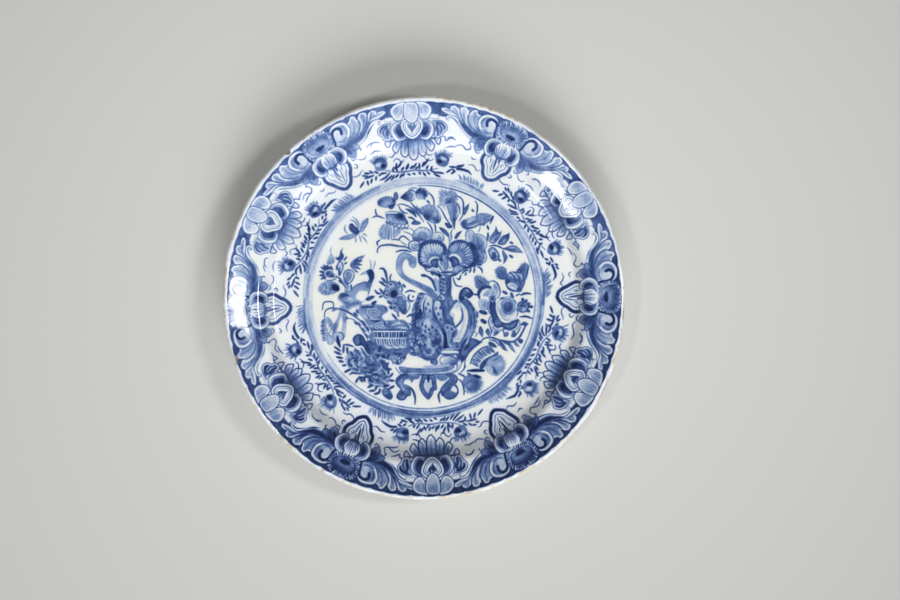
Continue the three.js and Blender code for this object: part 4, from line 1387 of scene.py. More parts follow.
def paint_left_foliage(brush):
    """The dark curled leaf by the rocks, and the blooms and leaves under it."""
    wash = (
        "-67,-50 -62,-46.4 -56,-46 -50,-48.6 -40,-51.6 -34,-54.6 -31.4,-60 -31,-66 -29.6,-71 -33,-76 "
        "-40,-77.4 -47,-75.6 -49,-70 -53,-66.4 -60,-65.4 -65,-61 -67.6,-55"
    )
    brush.shape(MID, wash, fade=("-64,-50 -50,-60", BLUE), soft=2.2)
    brush.speckle((MID, PALE, BLUE, PALE, DARK), 1.7, wash, 130)
    brush.shape(
        BLUE,
        "-61.6,-37 -60.6,-33.4 -57,-31.4 -53.6,-32.6 -51.4,-36 -52.6,-40.4 -55,-41.4 -59,-41.6",
        ((1.6, DARK),),
    )
    brush.shape(
        DARK,
        "-56,-32.6 -53,-33.4 -50.2,-38 -48,-43 -46.6,-48.4 -49.6,-47.6 -52.4,-42.4 -55,-40",
        ((0.7, NAVY),),
        soft=0.8,
    )
    brush.lines(PALE, 1.8, "-55.4,-43 -53,-47.6 -50,-52.6 -48,-56; -45.6,-51 -45.4,-53 -44.2,-55", soft=0.9)
    brush.lines(
        DARK,
        1.5,
        "-60,-43.6 -58,-46 -55.6,-49.4; -54,-44 -51.4,-48.6 -49.6,-53; -61.4,-52 -58.6,-52.4 -56.6,-51",
        soft=0.8,
    )
    arcs = (
        "-61.4,-53.2 -62.2,-56.4 -60.6,-59.4 -58,-61; -57.6,-54.6 -56.4,-57.6 -54.6,-60.4; -64,-61.4 "
        "-61,-64 -57,-65 -55.4,-62;-66.6,-52 -66.4,-56 -65.4,-59.4; -41,-53.6 -38,-56 -37,-60 -39.4,-63.6 "
        "-43.6,-65; -56,-47.4 -52.6,-50.4 -51,-54;-36.6,-71.6 -33.6,-73.4 -31.6,-75.6; -46.6,-73 -43,-75.4 "
        "-39,-75.6; -50,-66 -47.6,-66.6 -44.6,-66; -33,-63.6 -32,-67"
    )
    brush.lines(FAINT, 1.3, arcs, soft=0.8)
    shadows = (
        "-60.4,-55 -58.4,-53.8 -57.2,-55.6 -58.6,-57.4; -65.2,-53.6 -65.4,-57.4 -63.4,-60; -50.6,-53.4 "
        "-49,-57.6 -47,-59;-53.6,-61.6 -51.4,-60.6 -49.6,-61.4; -43.6,-57.4 -41.4,-58.6; -45,-67.6 "
        "-42,-66.4 -39.6,-67 -38.4,-69;-38.6,-68.8 -34,-69.4 -30.6,-69; -47.4,-68.6 -46.6,-71.6 -44,-73.6; "
        "-60,-61.4 -57.6,-62.6; -45.6,-62.6 -42,-62.2"
    )
    brush.lines(DARK, 1.7, shadows, soft=0.9)
    brush.lines(
        BLUE,
        2.2,
        "-48,-52.6 -46.6,-56.6; -55,-58 -53.6,-64; -41.6,-60 -40.4,-62.6; -36.6,-66 -35,-71.4",
        soft=1.2,
    )
    brush.hatch(
        DARK, 1, "-39,-55 -37,-57.6 -35.6,-60.4", "-34.6,-54.6 -32.4,-58.4 -32,-62.6", 6, ends=(0.8, 0.6)
    )
    twigs = (
        "-70,-41 -66,-40.8 -61,-42.4; -60.6,-45.6 -57,-47.4 -55,-49.4; -64.4,-66.8 -61.6,-65.4 -54.8,-66.2;"
        "-36,-55.6 -33,-57 -31,-61; -56.6,-68.6 -53,-69.4 -49,-69"
    )
    brush.lines(DARK, 1.7, twigs)
    leaves = (
        "-77.4,-42.8 -72.4,-46.2; -77.4,-47 -72,-49.4; -75.4,-51.4 -70.6,-52.4; -73.4,-55 -70,-55.6; "
        "-70.4,-59 -67.6,-58.6;-68.4,-64.6 -63.8,-62; -59,-73.6 -56.8,-69.6; -55.6,-69.6 -53.4,-73; "
        "-52.4,-69.4 -51,-72.6; -69.6,-42 -69.8,-47.6;-66.8,-43.4 -66,-48.4; -63.6,-47 -61.4,-50.4; "
        "-31.6,-61.6 -28.4,-62.4; -29.4,-68.6 -26.8,-66; -29.6,-72 -26,-72.2;-29.8,-79 -26,-77; "
        "-34.6,-77.2 -30.2,-76; -48.4,-78 -44.6,-75.8; -47,-81.2 -42.6,-80.4; -42,-79.6 "
        "-40.6,-76.4;-42.4,-83.8 -38.8,-82.8; -38.6,-82.6 -38,-79.4; -32.4,-60 -30.6,-56.4; -31,-61.6 "
        "-30.6,-66"
    )
    brush.lines(DARK, 2.2, leaves, ends=(0.7, 0.6))
    brush.shape(
        MID,
        "-36.2,-80 -32.4,-78.2 -29,-80.6 -26.8,-85.6 -29,-88.8 -33.4,-87 -36,-83.6",
        ((0.9, BLUE),),
        ("-35,-80 -29,-87", DARK),
    )
    brush.lines(PALE, 1.1, "-34.6,-81 -32,-79.6; -34,-84 -31.6,-82", soft=0.7)


def paint_stand(brush):
    """The scrolled stand under the vase: its top, legs and pendant."""
    brush.shape(WHITE, "-20,-58 -15,-53.4 -8,-50.8 -2,-53 10,-58.6 22,-58 20,-61 -20,-61", soft=0.8)
    brush.shape(
        MID,
        "-21.6,-61.4 -20,-59.8 -10,-61 4,-61.2 16,-60.6 24,-58.6 27,-60.4 20,-64 8,-65.2 -8,-65.4 "
        "-18,-65.4",
        ((0.6, BLUE),),
    )
    brush.shape(PALE, "0,-60.8 8,-61.2 18,-60 22,-59 18,-57.4 8,-58.8 0,-59.4", soft=0.8)
    brush.lines(BLUE, 2, "-19,-64 -8,-63.6 8,-63.8 20,-62", soft=1)
    brush.lines(PALE, 1.2, "-18,-66.2 -4,-66.2 10,-66.2 20,-65.2 28,-62.6 31,-58 31.6,-54", ends=(0.7, 0.7))
    brush.lines(
        DARK,
        1.1,
        "-24.6,-60.6 -22,-64.4 -18,-67 -4,-67 12,-67 22,-66 29,-63.4 32.6,-58.6 33,-54; 34.6,-63 36.6,-59 "
        "37,-55",
    )
    brush.lines(WHITE, 1.5, "29,-65 33.6,-61.4 35,-55.4; 33.6,-66 38,-61 39,-56.4", soft=0.6)
    brush.lines(DARK, 1.1, "31,-65.6 35,-62 36.2,-56; 28,-56 29.4,-59 28.6,-61.4")
    brush.shape(
        BLUE,
        "-15,-67.4 -4,-67.6 -4.6,-70.4 -8,-71.4 -10.4,-74 -12.6,-71.6 -17,-71",
        ((0.7, MID),),
        soft=0.6,
    )
    brush.shape(BLUE, "10,-67.6 22,-67 21,-70.4 18,-72.4 15,-72.6 11.6,-70.6", ((0.7, MID),), soft=0.6)
    brush.shape(
        BLUE,
        "-13,-67 -18,-66.2 -22.6,-68.6 -24.6,-73 -22.4,-77.4 -20.4,-79.6 -22.6,-83 -23.6,-86.6 "
        "-20.6,-89.2 -16.4,-88.6 -14.4,-85.8 -11.6,-85 -11,-81.6 -13,-78.6 -16.4,-77 -17.4,-74 -16,-71.2",
        ((0.9, DARK),),
    )
    brush.lines(DARK, 2.6, "-16,-67.4 -20,-68.6 -22.4,-72; -19.4,-81 -18.4,-84", soft=1.4)
    brush.lines(MID, 2.2, "-20,-73 -18.6,-78 -15,-81.6; -19,-87 -16.6,-86", soft=1.2)
    brush.lines(
        DARK, 1.9, "-16.4,-75.8 -11.4,-78.6 -8.6,-82.6 -7.4,-88 -7.8,-92.6; 14.4,-81.4 12.8,-85 14,-91.2"
    )
    brush.shape(
        FAINT,
        "-1,-67.4 -2.6,-71 -3.8,-76.6 -2.4,-81.6 1.4,-86.8 4.4,-88.4 7.6,-84.6 9,-81 11.6,-79.4 11,-74 "
        "10,-68.6 6,-67.2",
        ((0.7, DARK), (2.4, BLUE), (0.7, DARK)),
    )
    brush.lines(NAVY, 1.9, "4,-67.6 4,-73.4", ends=(1, 0.5))
    brush.shape(
        BLUE,
        "19.4,-66.6 26,-66.2 29.6,-69.6 28.4,-74.4 23.6,-77 21.6,-81 17,-85.6 14.6,-82.4 15,-78.6 "
        "19,-73.6 22.4,-70",
        ((0.9, DARK),),
    )
    brush.shape(
        BLUE,
        "16.4,-83 18.6,-87 22.6,-88.8 27.4,-87 30.4,-82.6 29.6,-77.4 27.4,-75.4 24,-77.4 21,-79",
        ((1.1, DARK),),
    )
    brush.shape(WHITE, "23.6,-80.4 26,-76.6 29,-79.6 28.4,-82.4 25.6,-81.6", soft=0.7)
    brush.lines(DARK, 2, "24,-67.6 25.4,-71.6 23.4,-75.4", soft=1)
    brush.lines(DARK, 1.6, "30,-70.8 33.6,-73.6 35,-79 35,-84.4; 30,-66 34,-67.6 37,-70; 38,-65.6 41.6,-67.4")


def paint_peacock(brush):
    """The mottled bird in the middle, with its two dotted feathers, its wing and its breast."""
    body = (
        "-4,4 2,4 12,2 22,0 28,-8 25,-20 28,-28 24,-40 18,-47 13,-51 10,-56 6,-54.6 2,-54.6 -4,-51.6 "
        "-12,-49 -13,-40 -11,-24 -10,-10 -7,-2"
    )
    brush.shape(BLUE, body, soft=0.8)
    brush.speckle((DARK, MID, DARK, BLUE, PALE), 1.6, "-7,0 0,3 0,-20 2,-48 -10,-48 -12,-30 -9,-12", 230)
    brush.shape(FAINT, "0.6,2 5,1 8,-3 7.6,-12 7.4,-18 2,-19 0.4,-10", fade=("4,-2 4,-16", MID), soft=0.9)
    brush.shape(
        FAINT,
        "8.8,-4 11,-2 14.6,-3 16.2,-9 17.4,-16 17.6,-23.6 14.6,-22 11,-17 9,-11",
        ((0.7, DARK),),
        ("12,-4 16,-21", PALE),
    )
    dots = (
        "2,-8.4 2,-9.8; 5.4,-10.8 5.8,-12; 10.8,-8.6 10.6,-10; 14.8,-7.6 14.4,-9.4; 12.6,-13.4 13,-14.8; "
        "14.6,-18.4 15,-19.6; 4,-5 4.2,-6"
    )
    brush.lines(DARK, 1.7, dots, ends=(1, 1), soft=0.8)
    brush.lines(WHITE, 1.3, "1.2,1 -1,-4 -1.6,-9 -0.6,-15", soft=0.6)
    brush.lines(
        DARK, 1.1, "2.2,0.6 0.2,-5 0,-10 0.8,-15.6; 8,-2 7.8,-8 8.2,-13 10,-18 13.4,-23 16,-27", soft=0.7
    )
    breast = "-1,-20 4,-19 9,-22 13,-26 16,-31 17,-37 15.6,-42 13.6,-38 11,-33 5,-34 0,-33"
    brush.shape(PALE, breast, fade=("2,-22 10,-33", MID), soft=1)
    brush.lines(
        FAINT,
        1.4,
        "2.6,-19.6 4.6,-22.6 4.4,-26; 13,-27.4 15.4,-31 16.4,-36 15.6,-41; -1.4,-32 1,-29.4 5,-29.4",
        soft=0.8,
    )
    spots = (
        "1.4,-24.4 1.8,-25.6; 7.4,-24.8 7.8,-26; 10.8,-28 11.4,-29; 1,-28.6 1.6,-29.6; 5.6,-30.8 6,-32; "
        "-1,-22 -1.4,-24; 4.4,-27.4 5,-28.4"
    )
    brush.lines(DARK, 1.8, spots, ends=(1, 1), soft=0.9)
    brush.lines(
        DARK, 1.6, "-1.4,-33.4 1.4,-35 2,-39; 12,-31.6 14,-35 13.4,-40; 8.6,-35.4 10.6,-38 9,-41", soft=1
    )
    brush.speckle((MID, BLUE, DARK, PALE), 1.5, "3,-34 12,-34 13,-44 8,-44 3,-42", 34)
    brush.shape(DARK, "8,-35 11.6,-35 13.6,-38.6 12,-42 9,-42 7,-39", soft=1.6)
    brush.speckle((DARK, BLUE, DARK, MID), 2.4, "-2,-33 6,-34 12,-33 15,-38 12,-46 4,-47 -2,-42", 26)
    brush.shape(PALE, "3,-36 6,-36 6.4,-41 9.6,-43.4 9.8,-47 7,-50 3,-50.6 0,-48 2.4,-44", soft=1.2)
    brush.shape(BLUE, "3,-44.6 6,-44.4 7,-47 5,-49 2.6,-48.6 1.6,-46.6", soft=1.2)
    brush.speckle((PALE, BLUE, MID, DARK), 1.6, "-3,-38 2,-38 2,-46 -1,-52 -8,-49", 40)
    brush.lines(
        DARK,
        1.4,
        "-2,-50 1,-52.6 6,-52.6; 11,-45 13,-49; -4.6,-7 -7,-14 -7,-22; -8,-28 -7,-36 -9,-44",
        soft=0.8,
    )
    brush.lines(NAVY, 1.6, "-4,-1 -6,-6 -6.6,-10; -5,-15 -6.6,-18; -3,-11 -2,-14.6", soft=1)
    brush.shape(BLUE, "6,-54 9,-53.4 12,-54.6 12,-57.6 9,-59 6.6,-57.4", ((0.8, DARK),))
    brush.lines(DARK, 1.7, "-14.6,-16.6 -11.6,-14.8 -8.6,-14.4; -17,-53 -15.6,-50")


def paint_vase_body(brush):
    """The vase's dark side, the long neck beside its white hollow, and the saucer under them."""
    side = (
        "17.6,-2 25,-2 30,-2 26,-8 22.4,-13 24.6,-20 27,-26 24,-36 24,-44 32,-46 30,-49 16,-47 18,-36 "
        "16.6,-26"
    )
    brush.shape(BLUE, side, soft=0.8)
    brush.lines(PALE, 1, "18.6,-2 19.6,-6 21,-9.6; 24,-3 23,-7", soft=0.8)
    brush.lines(DARK, 3.4, "17,-9 18,-15 20.6,-20.6 25.6,-23.4", soft=1.4)
    brush.lines(NAVY, 2.6, "16.4,-27 18.6,-33 19.4,-38 18.4,-43.6 20.6,-43", ends=(0.6, 0.9), soft=1.2)
    brush.lines(NAVY, 2.4, "26,-25.6 27.6,-29 26.4,-33; 24.6,-38.6 24.8,-42.4", soft=1)
    brush.shape(
        MID,
        "18.4,-24 20.6,-22.8 24.6,-24.2 27.6,-26.2 27,-29 24,-30.4 22,-28.6 20,-29.6",
        ((0.8, PALE),),
        soft=0.6,
    )
    brush.lines(DARK, 1.7, "20,-25.4 21.2,-26.4; 23.8,-26.4 25.4,-28", soft=0.8)
    brush.shape(
        MID,
        "21,-30 23.6,-30.4 24,-34 22.6,-38 24.6,-41.6 22.4,-42.6 20.6,-38 20.4,-33",
        ((0.7, PALE),),
        soft=0.7,
    )
    neck = (
        "31,-3 36,0 41,-4 45,-11 46,-20 44.4,-29 40,-36.6 35.6,-44 30,-48 28,-44 32,-38 37,-29 39,-19 37,-9"
    )
    brush.shape(BLUE, neck, ((0.9, DARK),), ("36,-6 42,-20", MID))
    brush.lines(PALE, 1.2, "42.6,-8 44.8,-14 45.4,-20; 40,-6 42,-10", soft=0.8)
    brush.lines(
        DARK,
        1.6,
        "38,-2.4 42.4,-9 44.2,-17 43.4,-26; 40.6,-14 41.4,-20 40.4,-27; 46.4,-12 47,-17",
        soft=0.9,
    )
    brush.shape(
        FAINT,
        "29.6,-3.4 34,-5 37.8,-10.4 39.2,-18.4 37.4,-27 34,-35 31.2,-39.2 26,-38* 28.6,-32.6 32.6,-26 "
        "34.4,-18 33.4,-10",
        ((0.7, MID), (0.6, WHITE)),
        ("36,-10 31,-37", PALE),
    )
    brush.lines(WHITE, 1.2, "36.6,-10 37.4,-18 35.6,-26 32,-34; 27.4,-37.4 31,-37.8", soft=0.8)
    brush.shape(
        WHITE,
        "29.4,-3.4 25,-8.6 22.4,-13.6 25.4,-17.4 25.6,-21.6 28.4,-23.6 32,-20 33.4,-14 32,-8",
        ((0.6, PALE),),
    )
    brush.shape(FAINT, "27,-8 29,-11 30.4,-9 30,-5.6 28,-5.6", soft=1)
    brush.lines(PALE, 1, "23.6,-13 26,-14.6 26.4,-18; 28.6,-6 30.6,-8", soft=0.8)
    brush.lines(DARK, 1.6, "32.6,-9.4 34,-14 33.2,-19 30.6,-23 27,-25.4 25.6,-21.4 24.6,-18")
    brush.shape(
        BLUE,
        "25.6,-40 28.4,-38.4 32,-39.4 33,-42.6 31,-45.4 27.4,-45.6 25.4,-43",
        ((0.8, DARK), (0.7, PALE)),
    )
    brush.lines(DARK, 1.3, "27.6,-40.6 30,-40; 28,-42.6 30.6,-42.4", soft=0.7)
    brush.lines(
        MID, 1, "43.6,-12 46.4,-16; 44.6,-17 47.4,-21; 44.4,-22 47,-26; 43.4,-27 45.6,-31; 41.6,-6 44,-8.6"
    )
    brush.shape(
        DARK,
        "34,-38 38.6,-35 44,-35.4 51,-38.6* 46.4,-41.8 40.6,-47 36.6,-53 34.4,-56.4* 30,-54 28.4,-48.6 "
        "32,-43.4",
        soft=0.7,
    )
    brush.shape(BLUE, "41,-37 47,-38.6 43,-42 38.6,-46.6 36,-50.6 33.4,-52 33.6,-47 37,-43", soft=1.8)
    brush.lines(FAINT, 1.5, "39.6,-34.4 37.4,-39.4 34.8,-44.6", soft=0.6)
    brush.lines(NAVY, 1.8, "28.6,-46.6 31.4,-47.6; 36,-44.6 38.6,-41; 34,-53.6 33,-51", soft=1)
    brush.shape(WHITE, "14.6,-47.6 17.6,-44.6 22,-43.6 27,-45 30.6,-46.6 30,-49 20,-49.6", ((0.6, BLUE),))
    brush.lines(BLUE, 1, "16,-46 21,-45.4 28,-46; 16.6,-48.4 23,-48.6 29,-48.2", soft=0.7)
    brush.lines(DARK, 1.4, "15.6,-49.6 22,-49.8 29,-49.4; 14.6,-44 16.4,-42.6", soft=0.7)
    brush.shape(
        WHITE,
        "14,-53 17,-50.6 24,-50.4 29,-52.6 30,-56 26,-59 18,-58.6 14.4,-56.4",
        ((0.7, DARK),),
        ("17,-51.6 24,-56", BLUE),
    )
    brush.lines(DARK, 1.6, "21,-58.2 26.6,-57.2 29.4,-54.6", soft=1.2)
    brush.lines(PALE, 1, "17.6,-54.6 21,-56.4; 24,-52.6 27,-53.6", soft=0.8)


def paint_arched_leaf(brush):
    """The curled leaf with bars, and the asters on its two sides."""
    brush.shape(
        WHITE,
        "36,-57* 38.4,-50 43.4,-44.4 50,-39.6 56,-36.8 62,-38 65,-42 65,-47.4 58,-51 53,-57 50,-62* "
        "38,-63*",
    )
    brush.lines(
        DARK,
        1.2,
        "35.4,-58 37,-51.4 42,-44.8 49,-39.6; 40.4,-58 42,-52.6 46,-47.6 51.4,-43.4 57,-41.6; 57,-36.4 "
        "62.4,-37.6 66,-42",
    )
    brush.hatch(
        DARK,
        1.3,
        "41.4,-56.4 43.6,-51.4 48,-46.8 53,-43.4 57.4,-42.4",
        "48,-60 49.4,-56.6 53,-52.8 58,-49.6 62.4,-47.6",
        12,
    )
    brush.shape(DARK, "56.4,-38.2 60.6,-39 63.8,-42.8 60,-43 57,-41", soft=0.7)
    brush.shape(
        DARK,
        "64.6,-46.8 60,-49.6 54,-52.8 50,-56.6 48.6,-61 51.4,-62 54.4,-58 59.4,-54 64.4,-50.4",
        soft=0.6,
    )
    brush.lines(WHITE, 1.1, "49,-58 51,-54.4 56,-50.6 62,-48", soft=0.5)
    brush.lines(NAVY, 2.6, "38,-63.6 45,-63.2 52.4,-63.4", ends=(0.4, 0.7))
    aster = "54,-58 56.6,-53 62,-50.6 67,-50 70.4,-54.6 70.6,-60 68,-65 62.6,-68 57,-66 54,-62"
    brush.shape(PALE, aster, ((1.2, MID),), ("55,-60 68,-56", MID), soft=1)
    brush.hatch(
        BLUE, 0.9, "60,-55 62.6,-57 62.6,-60 60.6,-62.6", "67.4,-49.6 71.8,-55.6 71,-62.6 64,-68.6", 13
    )
    brush.hatch(PALE, 0.9, "61,-56 63,-58 62,-61", "69,-52.6 71.2,-59 67.4,-65.6", 8)
    brush.lines(DARK, 1.6, "59.6,-60 61.4,-62 60.6,-66; 62,-63 63,-66.4", soft=0.8)
    brush.shape(
        BLUE,
        "34,-72 36.6,-68.4 41,-66.6 46,-68 49.4,-72 49,-78 45,-81.6 39.6,-81 35.6,-77",
        fade=("36,-72 46,-74", DARK),
        soft=0.9,
    )
    brush.lines(MID, 1.8, "36,-73 38.6,-70 41.6,-69.4; 37.6,-77 40,-75.6", soft=1)
    brush.hatch(
        BLUE, 0.9, "46,-70 48,-74 46,-79 41,-81 37,-80", "51,-70 52.6,-75.4 49,-81.6 42,-84 36.4,-82.6", 18
    )
    brush.shape(NAVY, "43,-67 47,-67 50.4,-69.4 46.6,-69.6", soft=0.7)


def paint_leaf_branch(brush):
    """The branch at the lower right, with its dark leaves."""
    brush.lines(
        DARK,
        1.8,
        "49.4,-38.4 53,-35.2 59,-34.6 66,-36.8 72,-38 78,-38 83,-34.6 86,-30 88,-25 88.6,-21.6",
        ends=(0.5, 0.9),
    )
    brush.lines(
        DARK,
        1.2,
        "56,-20 58,-25 59,-29.4 57.6,-33.6; 66,-36.6 70,-38.6 75,-42; 84.6,-25 82.4,-29 79,-34; 71,-34 "
        "69.6,-29 71,-26",
    )
    leaves = (
        "49,-24.6 48,-30 51.4,-34.6* 51.6,-28",
        "55.6,-26.6 54,-29.6 56.6,-33.4* 57.6,-29.4",
        "60.6,-33.6* 61.6,-28.6 64.6,-27.8 66.6,-28.4 64.6,-31.6",
        "69.6,-33 71,-29.8 74,-30 73.6,-32.8 71.4,-34",
        "76,-33.6 77.6,-28.6 79.6,-28.6 80,-32.4 78.4,-34.4",
        "65,-37.6 69,-39.6 73.4,-46.6* 68.6,-44.4",
        "72.4,-38.6 76.4,-40.6 80,-47.6* 75.6,-44.8",
        "77.6,-37.8 80.6,-38.6 83.6,-42.6* 80,-41.6",
        "82,-36.4 84.6,-35.4 86.8,-37.4 85,-39.8 82.6,-38.8",
        "83.8,-23.6 87.4,-20.6 91,-22.6 89.4,-24.4 86,-24",
    )
    for leaf in leaves:
        brush.shape(DARK, leaf, ((0.8, DARK),), soft=0.6)
    for leaf in leaves[:8]:
        points = points_in(leaf)
        middle = points.mean(0)
        vein = np.array((points[0] * 0.6 + middle * 0.4, points[2] * 0.5 + middle * 0.5)) + SCENE_SHIFT
        brush.stroke(BLUE, 1.4, vein, soft=0.9)
    brush.lines(DARK, 1.9, "84,-16.4 89,-16.2 94.6,-18.2")
    brush.dabs(DARK, 3.4, "49.6,-11.8 55.4,-14; 51,-19.6 54.4,-22")
    brush.lines(BLUE, 1, "41,-29 43,-32.6; 47.6,-30 45,-34")


def paint_right_blossom(brush):
    """The round blossom at the right edge in its dark crescent, and the small aster beside it."""
    outer = (
        "57,-3 55.4,-7 56.2,-12 59,-15 62,-12 62,-4",
        "60.4,-15 57,-17.2 56.2,-21.6 58,-26.4 61.4,-30 64,-27 63,-20",
        "60.4,-25 63,-28.6 67,-29 70,-26.6 68,-23",
        "69.6,-25 71,-28 75,-29 80,-28.4 83.6,-24.6 83.4,-19.6 78,-20",
    )
    for petal in outer:
        brush.shape(FAINT, petal, ((0.8, BLUE), (1.2, FAINT)), ("60,-8 58,-4", PALE), soft=0.6)
    brush.lines(
        MID,
        1,
        "57.6,-6 58,-10; 59,-19 59.6,-23; 73,-27.4 77,-27.2 80.6,-25; 63.4,-27.4 66.4,-27.6",
        soft=0.8,
    )
    brush.shape(
        PALE,
        "48.2,-2 47.8,-6.4 50.4,-9.8 55,-10.2 56,-5 54.4,-1.4",
        ((0.8, MID), (0.7, FAINT)),
        ("50,-7 54,-4", MID),
    )
    brush.shape(
        DARK,
        "58.8,-2 57.2,-8 58.4,-13.6 59.8,-17 60.4,-21.6 63.6,-26 68.6,-25.4 70.6,-27 76,-27.8 81,-24.6 "
        "82.4,-18.6 78.6,-20 73,-22 68,-20.6 65,-16.6 62.8,-11 62.6,-4",
        ((0.7, NAVY),),
    )
    brush.shape(BLUE, "62,-20 62.4,-23.4 65.4,-24 67,-21.6 64.4,-18.6", soft=1.4)
    brush.lines(BLUE, 1.8, "72,-24.4 76,-24.8 79,-22.6", soft=1.2)
    brush.lines(FAINT, 1.2, "63.2,-5 63.4,-9.6 65,-14; 58.8,-2.4 61,-3.4", soft=0.8)
    disc = "64.4,-3.4 64.8,-9.4 66.6,-14.6 70,-19 75,-20.8 80,-18.4 82,-13 81.6,-6 79,-1.4 74.6,1.8 70,0.4"
    brush.shape(FAINT, disc, ((0.7, MID), (1.4, WHITE)))
    brush.lines(MID, 1, "68.6,-17.4 72,-19 76,-18.6; 66.4,-9 68,-14 71.6,-17", soft=0.7)
    brush.shape(
        MID,
        "66.8,-3.6 67.2,-9.4 70,-14.2 75,-15.4 79.6,-12 80.4,-7 78,-3 75,0.6 70.6,-1",
        ((0.7, PALE),),
        soft=0.8,
    )
    brush.hatch(
        BLUE,
        0.8,
        "69.4,-7 70.4,-11 74,-12.4 77.6,-10.6",
        "67.2,-6.6 69,-12.8 74.4,-15 79,-11.6",
        11,
        ends=(0.9, 0.3),
    )
    brush.shape(
        BLUE,
        "69.6,-7.6 70.6,-11.2 74.4,-12 77.4,-9.2 77,-5.4 73.6,-3.8 70.8,-4.8",
        ((0.8, DARK),),
        ("71,-6 75,-9", DARK),
        soft=0.9,
    )
    brush.lines(BLUE, 1.1, "66.4,-1.4 69.6,-1 72,0.6; 78,-1.6 80.4,-5; 80.6,-9 82,-13 81,-16", soft=0.8)
    brush.shape(
        BLUE,
        "81.6,-8 82.4,-4.4 86,-2.6 90,-4.2 91.6,-8 89.8,-12 85.6,-13 82.6,-11.4",
        ((0.9, DARK), (0.9, MID)),
        soft=0.6,
    )
    brush.shape(PALE, "85.6,-9.4 87.6,-8.4 88.8,-10 87.4,-11.8 85.8,-11.2", soft=1.2)
    brush.lines(DARK, 1.3, "83.4,-7.4 86,-6.6 88.6,-7.2; 85.4,-4.8 87.4,-4.4", soft=0.8)
    beads = "86.2,-1.2 86.4,-2; 89.4,-2.4 89,-3.2; 91.8,-5 91,-5.6; 94,-7.8 92.4,-7.6; 91.6,-11.6 90.6,-11"
    brush.lines(DARK, 2.6, beads, ends=(0.9, 0.9))


# The motifs of the border: turn in degrees and how loaded the brush is, then the small asters by a lotus.
# The load is light at the top and heavy at the bottom: partly the cobalt itself, partly a painted shade.
ASTERS = ((0.3, 1.08), (61.8, 0.88), (124.8, 0.85), (184.3, 0.95), (244.4, 1.3), (301.9, 1.3))
LOTUSES = (
    (31.8, 1.0, (14.3, -11.3)),
    (94, 0.85, (14.2, -11.6)),
    (153.6, 0.85, (13.2, -12)),
    (214.2, 1.12, (13.8, -11.8)),
    (272.8, 1.28, (12.6, -11.8)),
    (331.6, 1.18, (13.8, -12)),
)

# Where the scene's own coordinates start from, in millimetres, and how far a hand strays from them.
SCENE_SHIFT = np.array((-0.4, 0.4))
SCENE_WOBBLE = 0.08

# How the painting melts in the kiln, with reaches in millimetres. Edges gain a little, colour bleeds into the
# white beside it, and it pools in grains, each given as its strength, reach and seed.
EDGE_REACH = 0.9
EDGE_GAIN = 0.12
BLEED_REACH = 2.2
BLEED = 0.23
GRAINS = ((0.11, 0.5, 1), (0.13, 2.2, 2), (0.08, 9, 3))
GRAIN_CEILING = 1.15
MELT_REACH = 0.28


def blurred(field, reach):
    """A field on the sheet softened by a bell curve of this reach in millimetres."""
    rows = np.fft.fftfreq(field.shape[0], SHEET_PITCH)[:, None]
    columns = np.fft.rfftfreq(field.shape[1], SHEET_PITCH)
    kept = np.exp(-2 * (math.pi * reach) ** 2 * (rows**2 + columns**2))
    return np.fft.irfft2(np.fft.rfft2(field) * kept, field.shape)


def grain(shape, reach, seed):
    """Even randomness of one fineness, about as often above zero as below it."""
    soft = blurred(np.random.default_rng(seed).normal(size=shape), reach)
    return soft / soft.std()


def settle(sheet):
    """Lets the colour bleed and pool a little, as it does when the glaze melts."""
    ink = np.clip(sheet.ink, 0, 1)
    ink = ink + EDGE_GAIN * (ink - blurred(ink, EDGE_REACH))
    ink = 1 - (1 - ink) * (1 - BLEED * np.clip(blurred(ink, BLEED_REACH), 0, 1))
    wash = sum(strength * grain(ink.shape, reach, seed) for strength, reach, seed in GRAINS)
    ink = ink * (1 + wash * (GRAIN_CEILING - ink))
    sheet.ink = np.clip(blurred(ink, MELT_REACH), 0, 1)


def painted_sheet():
    """The whole painting of the face."""
    sheet = Sheet()
    paint_ground(sheet)
    paint_rings(sheet)
    for number, motif in enumerate(ASTERS):
        paint_aster(sheet, motif, seed=100 + 10 * number)
    for number, motif in enumerate(LOTUSES):
        paint_lotus(sheet, motif, seed=200 + 10 * number)
    brush = Brush(sheet, lambda points: points + SCENE_SHIFT, seed=7, wobble=SCENE_WOBBLE)
    for paint in (
        paint_rocks,
        paint_peacock,
        paint_vase_body,
        paint_crane,
        paint_left_twigs,
        paint_left_fans,
        paint_butterfly,
        paint_left_cluster,
        paint_left_bird,
        paint_small_flower,
        paint_top_flowers,
        paint_comb_fan,
        paint_right_leaves,
        paint_big_flower,
        paint_flower_base,
        paint_vase_neck,
        paint_right_bird,
        paint_tulip,
        paint_tail_and_hook,
        paint_left_foliage,
        paint_stand,
        paint_arched_leaf,
        paint_leaf_branch,
        paint_right_blossom,
    ):
        paint(brush)
    settle(sheet)
    return sheet


# The dish

# Sizes of the section, in millimetres, as the solid parts have them.
LIP_RADIUS = 2.5
FLANGE_WIDTH = 24.5
CAVETTO_WIDTH = 15.5
UNDERSIDE = 7.5
FLOOR_HEIGHT = 14.0
FLOOR_RISE = 2.0
CAVETTO_RISE = 15.0
FLANGE_RISE = 9.0
FLANGE_START_SLOPE = math.radians(13)
WALL_SHIFT = 4.0
FOOT_RADIUS = 98.0
FOOT_REST_WIDTH = 6.0
FOOT_ROOT_WIDTH = 12.0
FOOT_COVE_HEIGHT = 3.0
BARE_FOOT_HEIGHT = 1.5
GLAZE_THICKNESS = 0.5

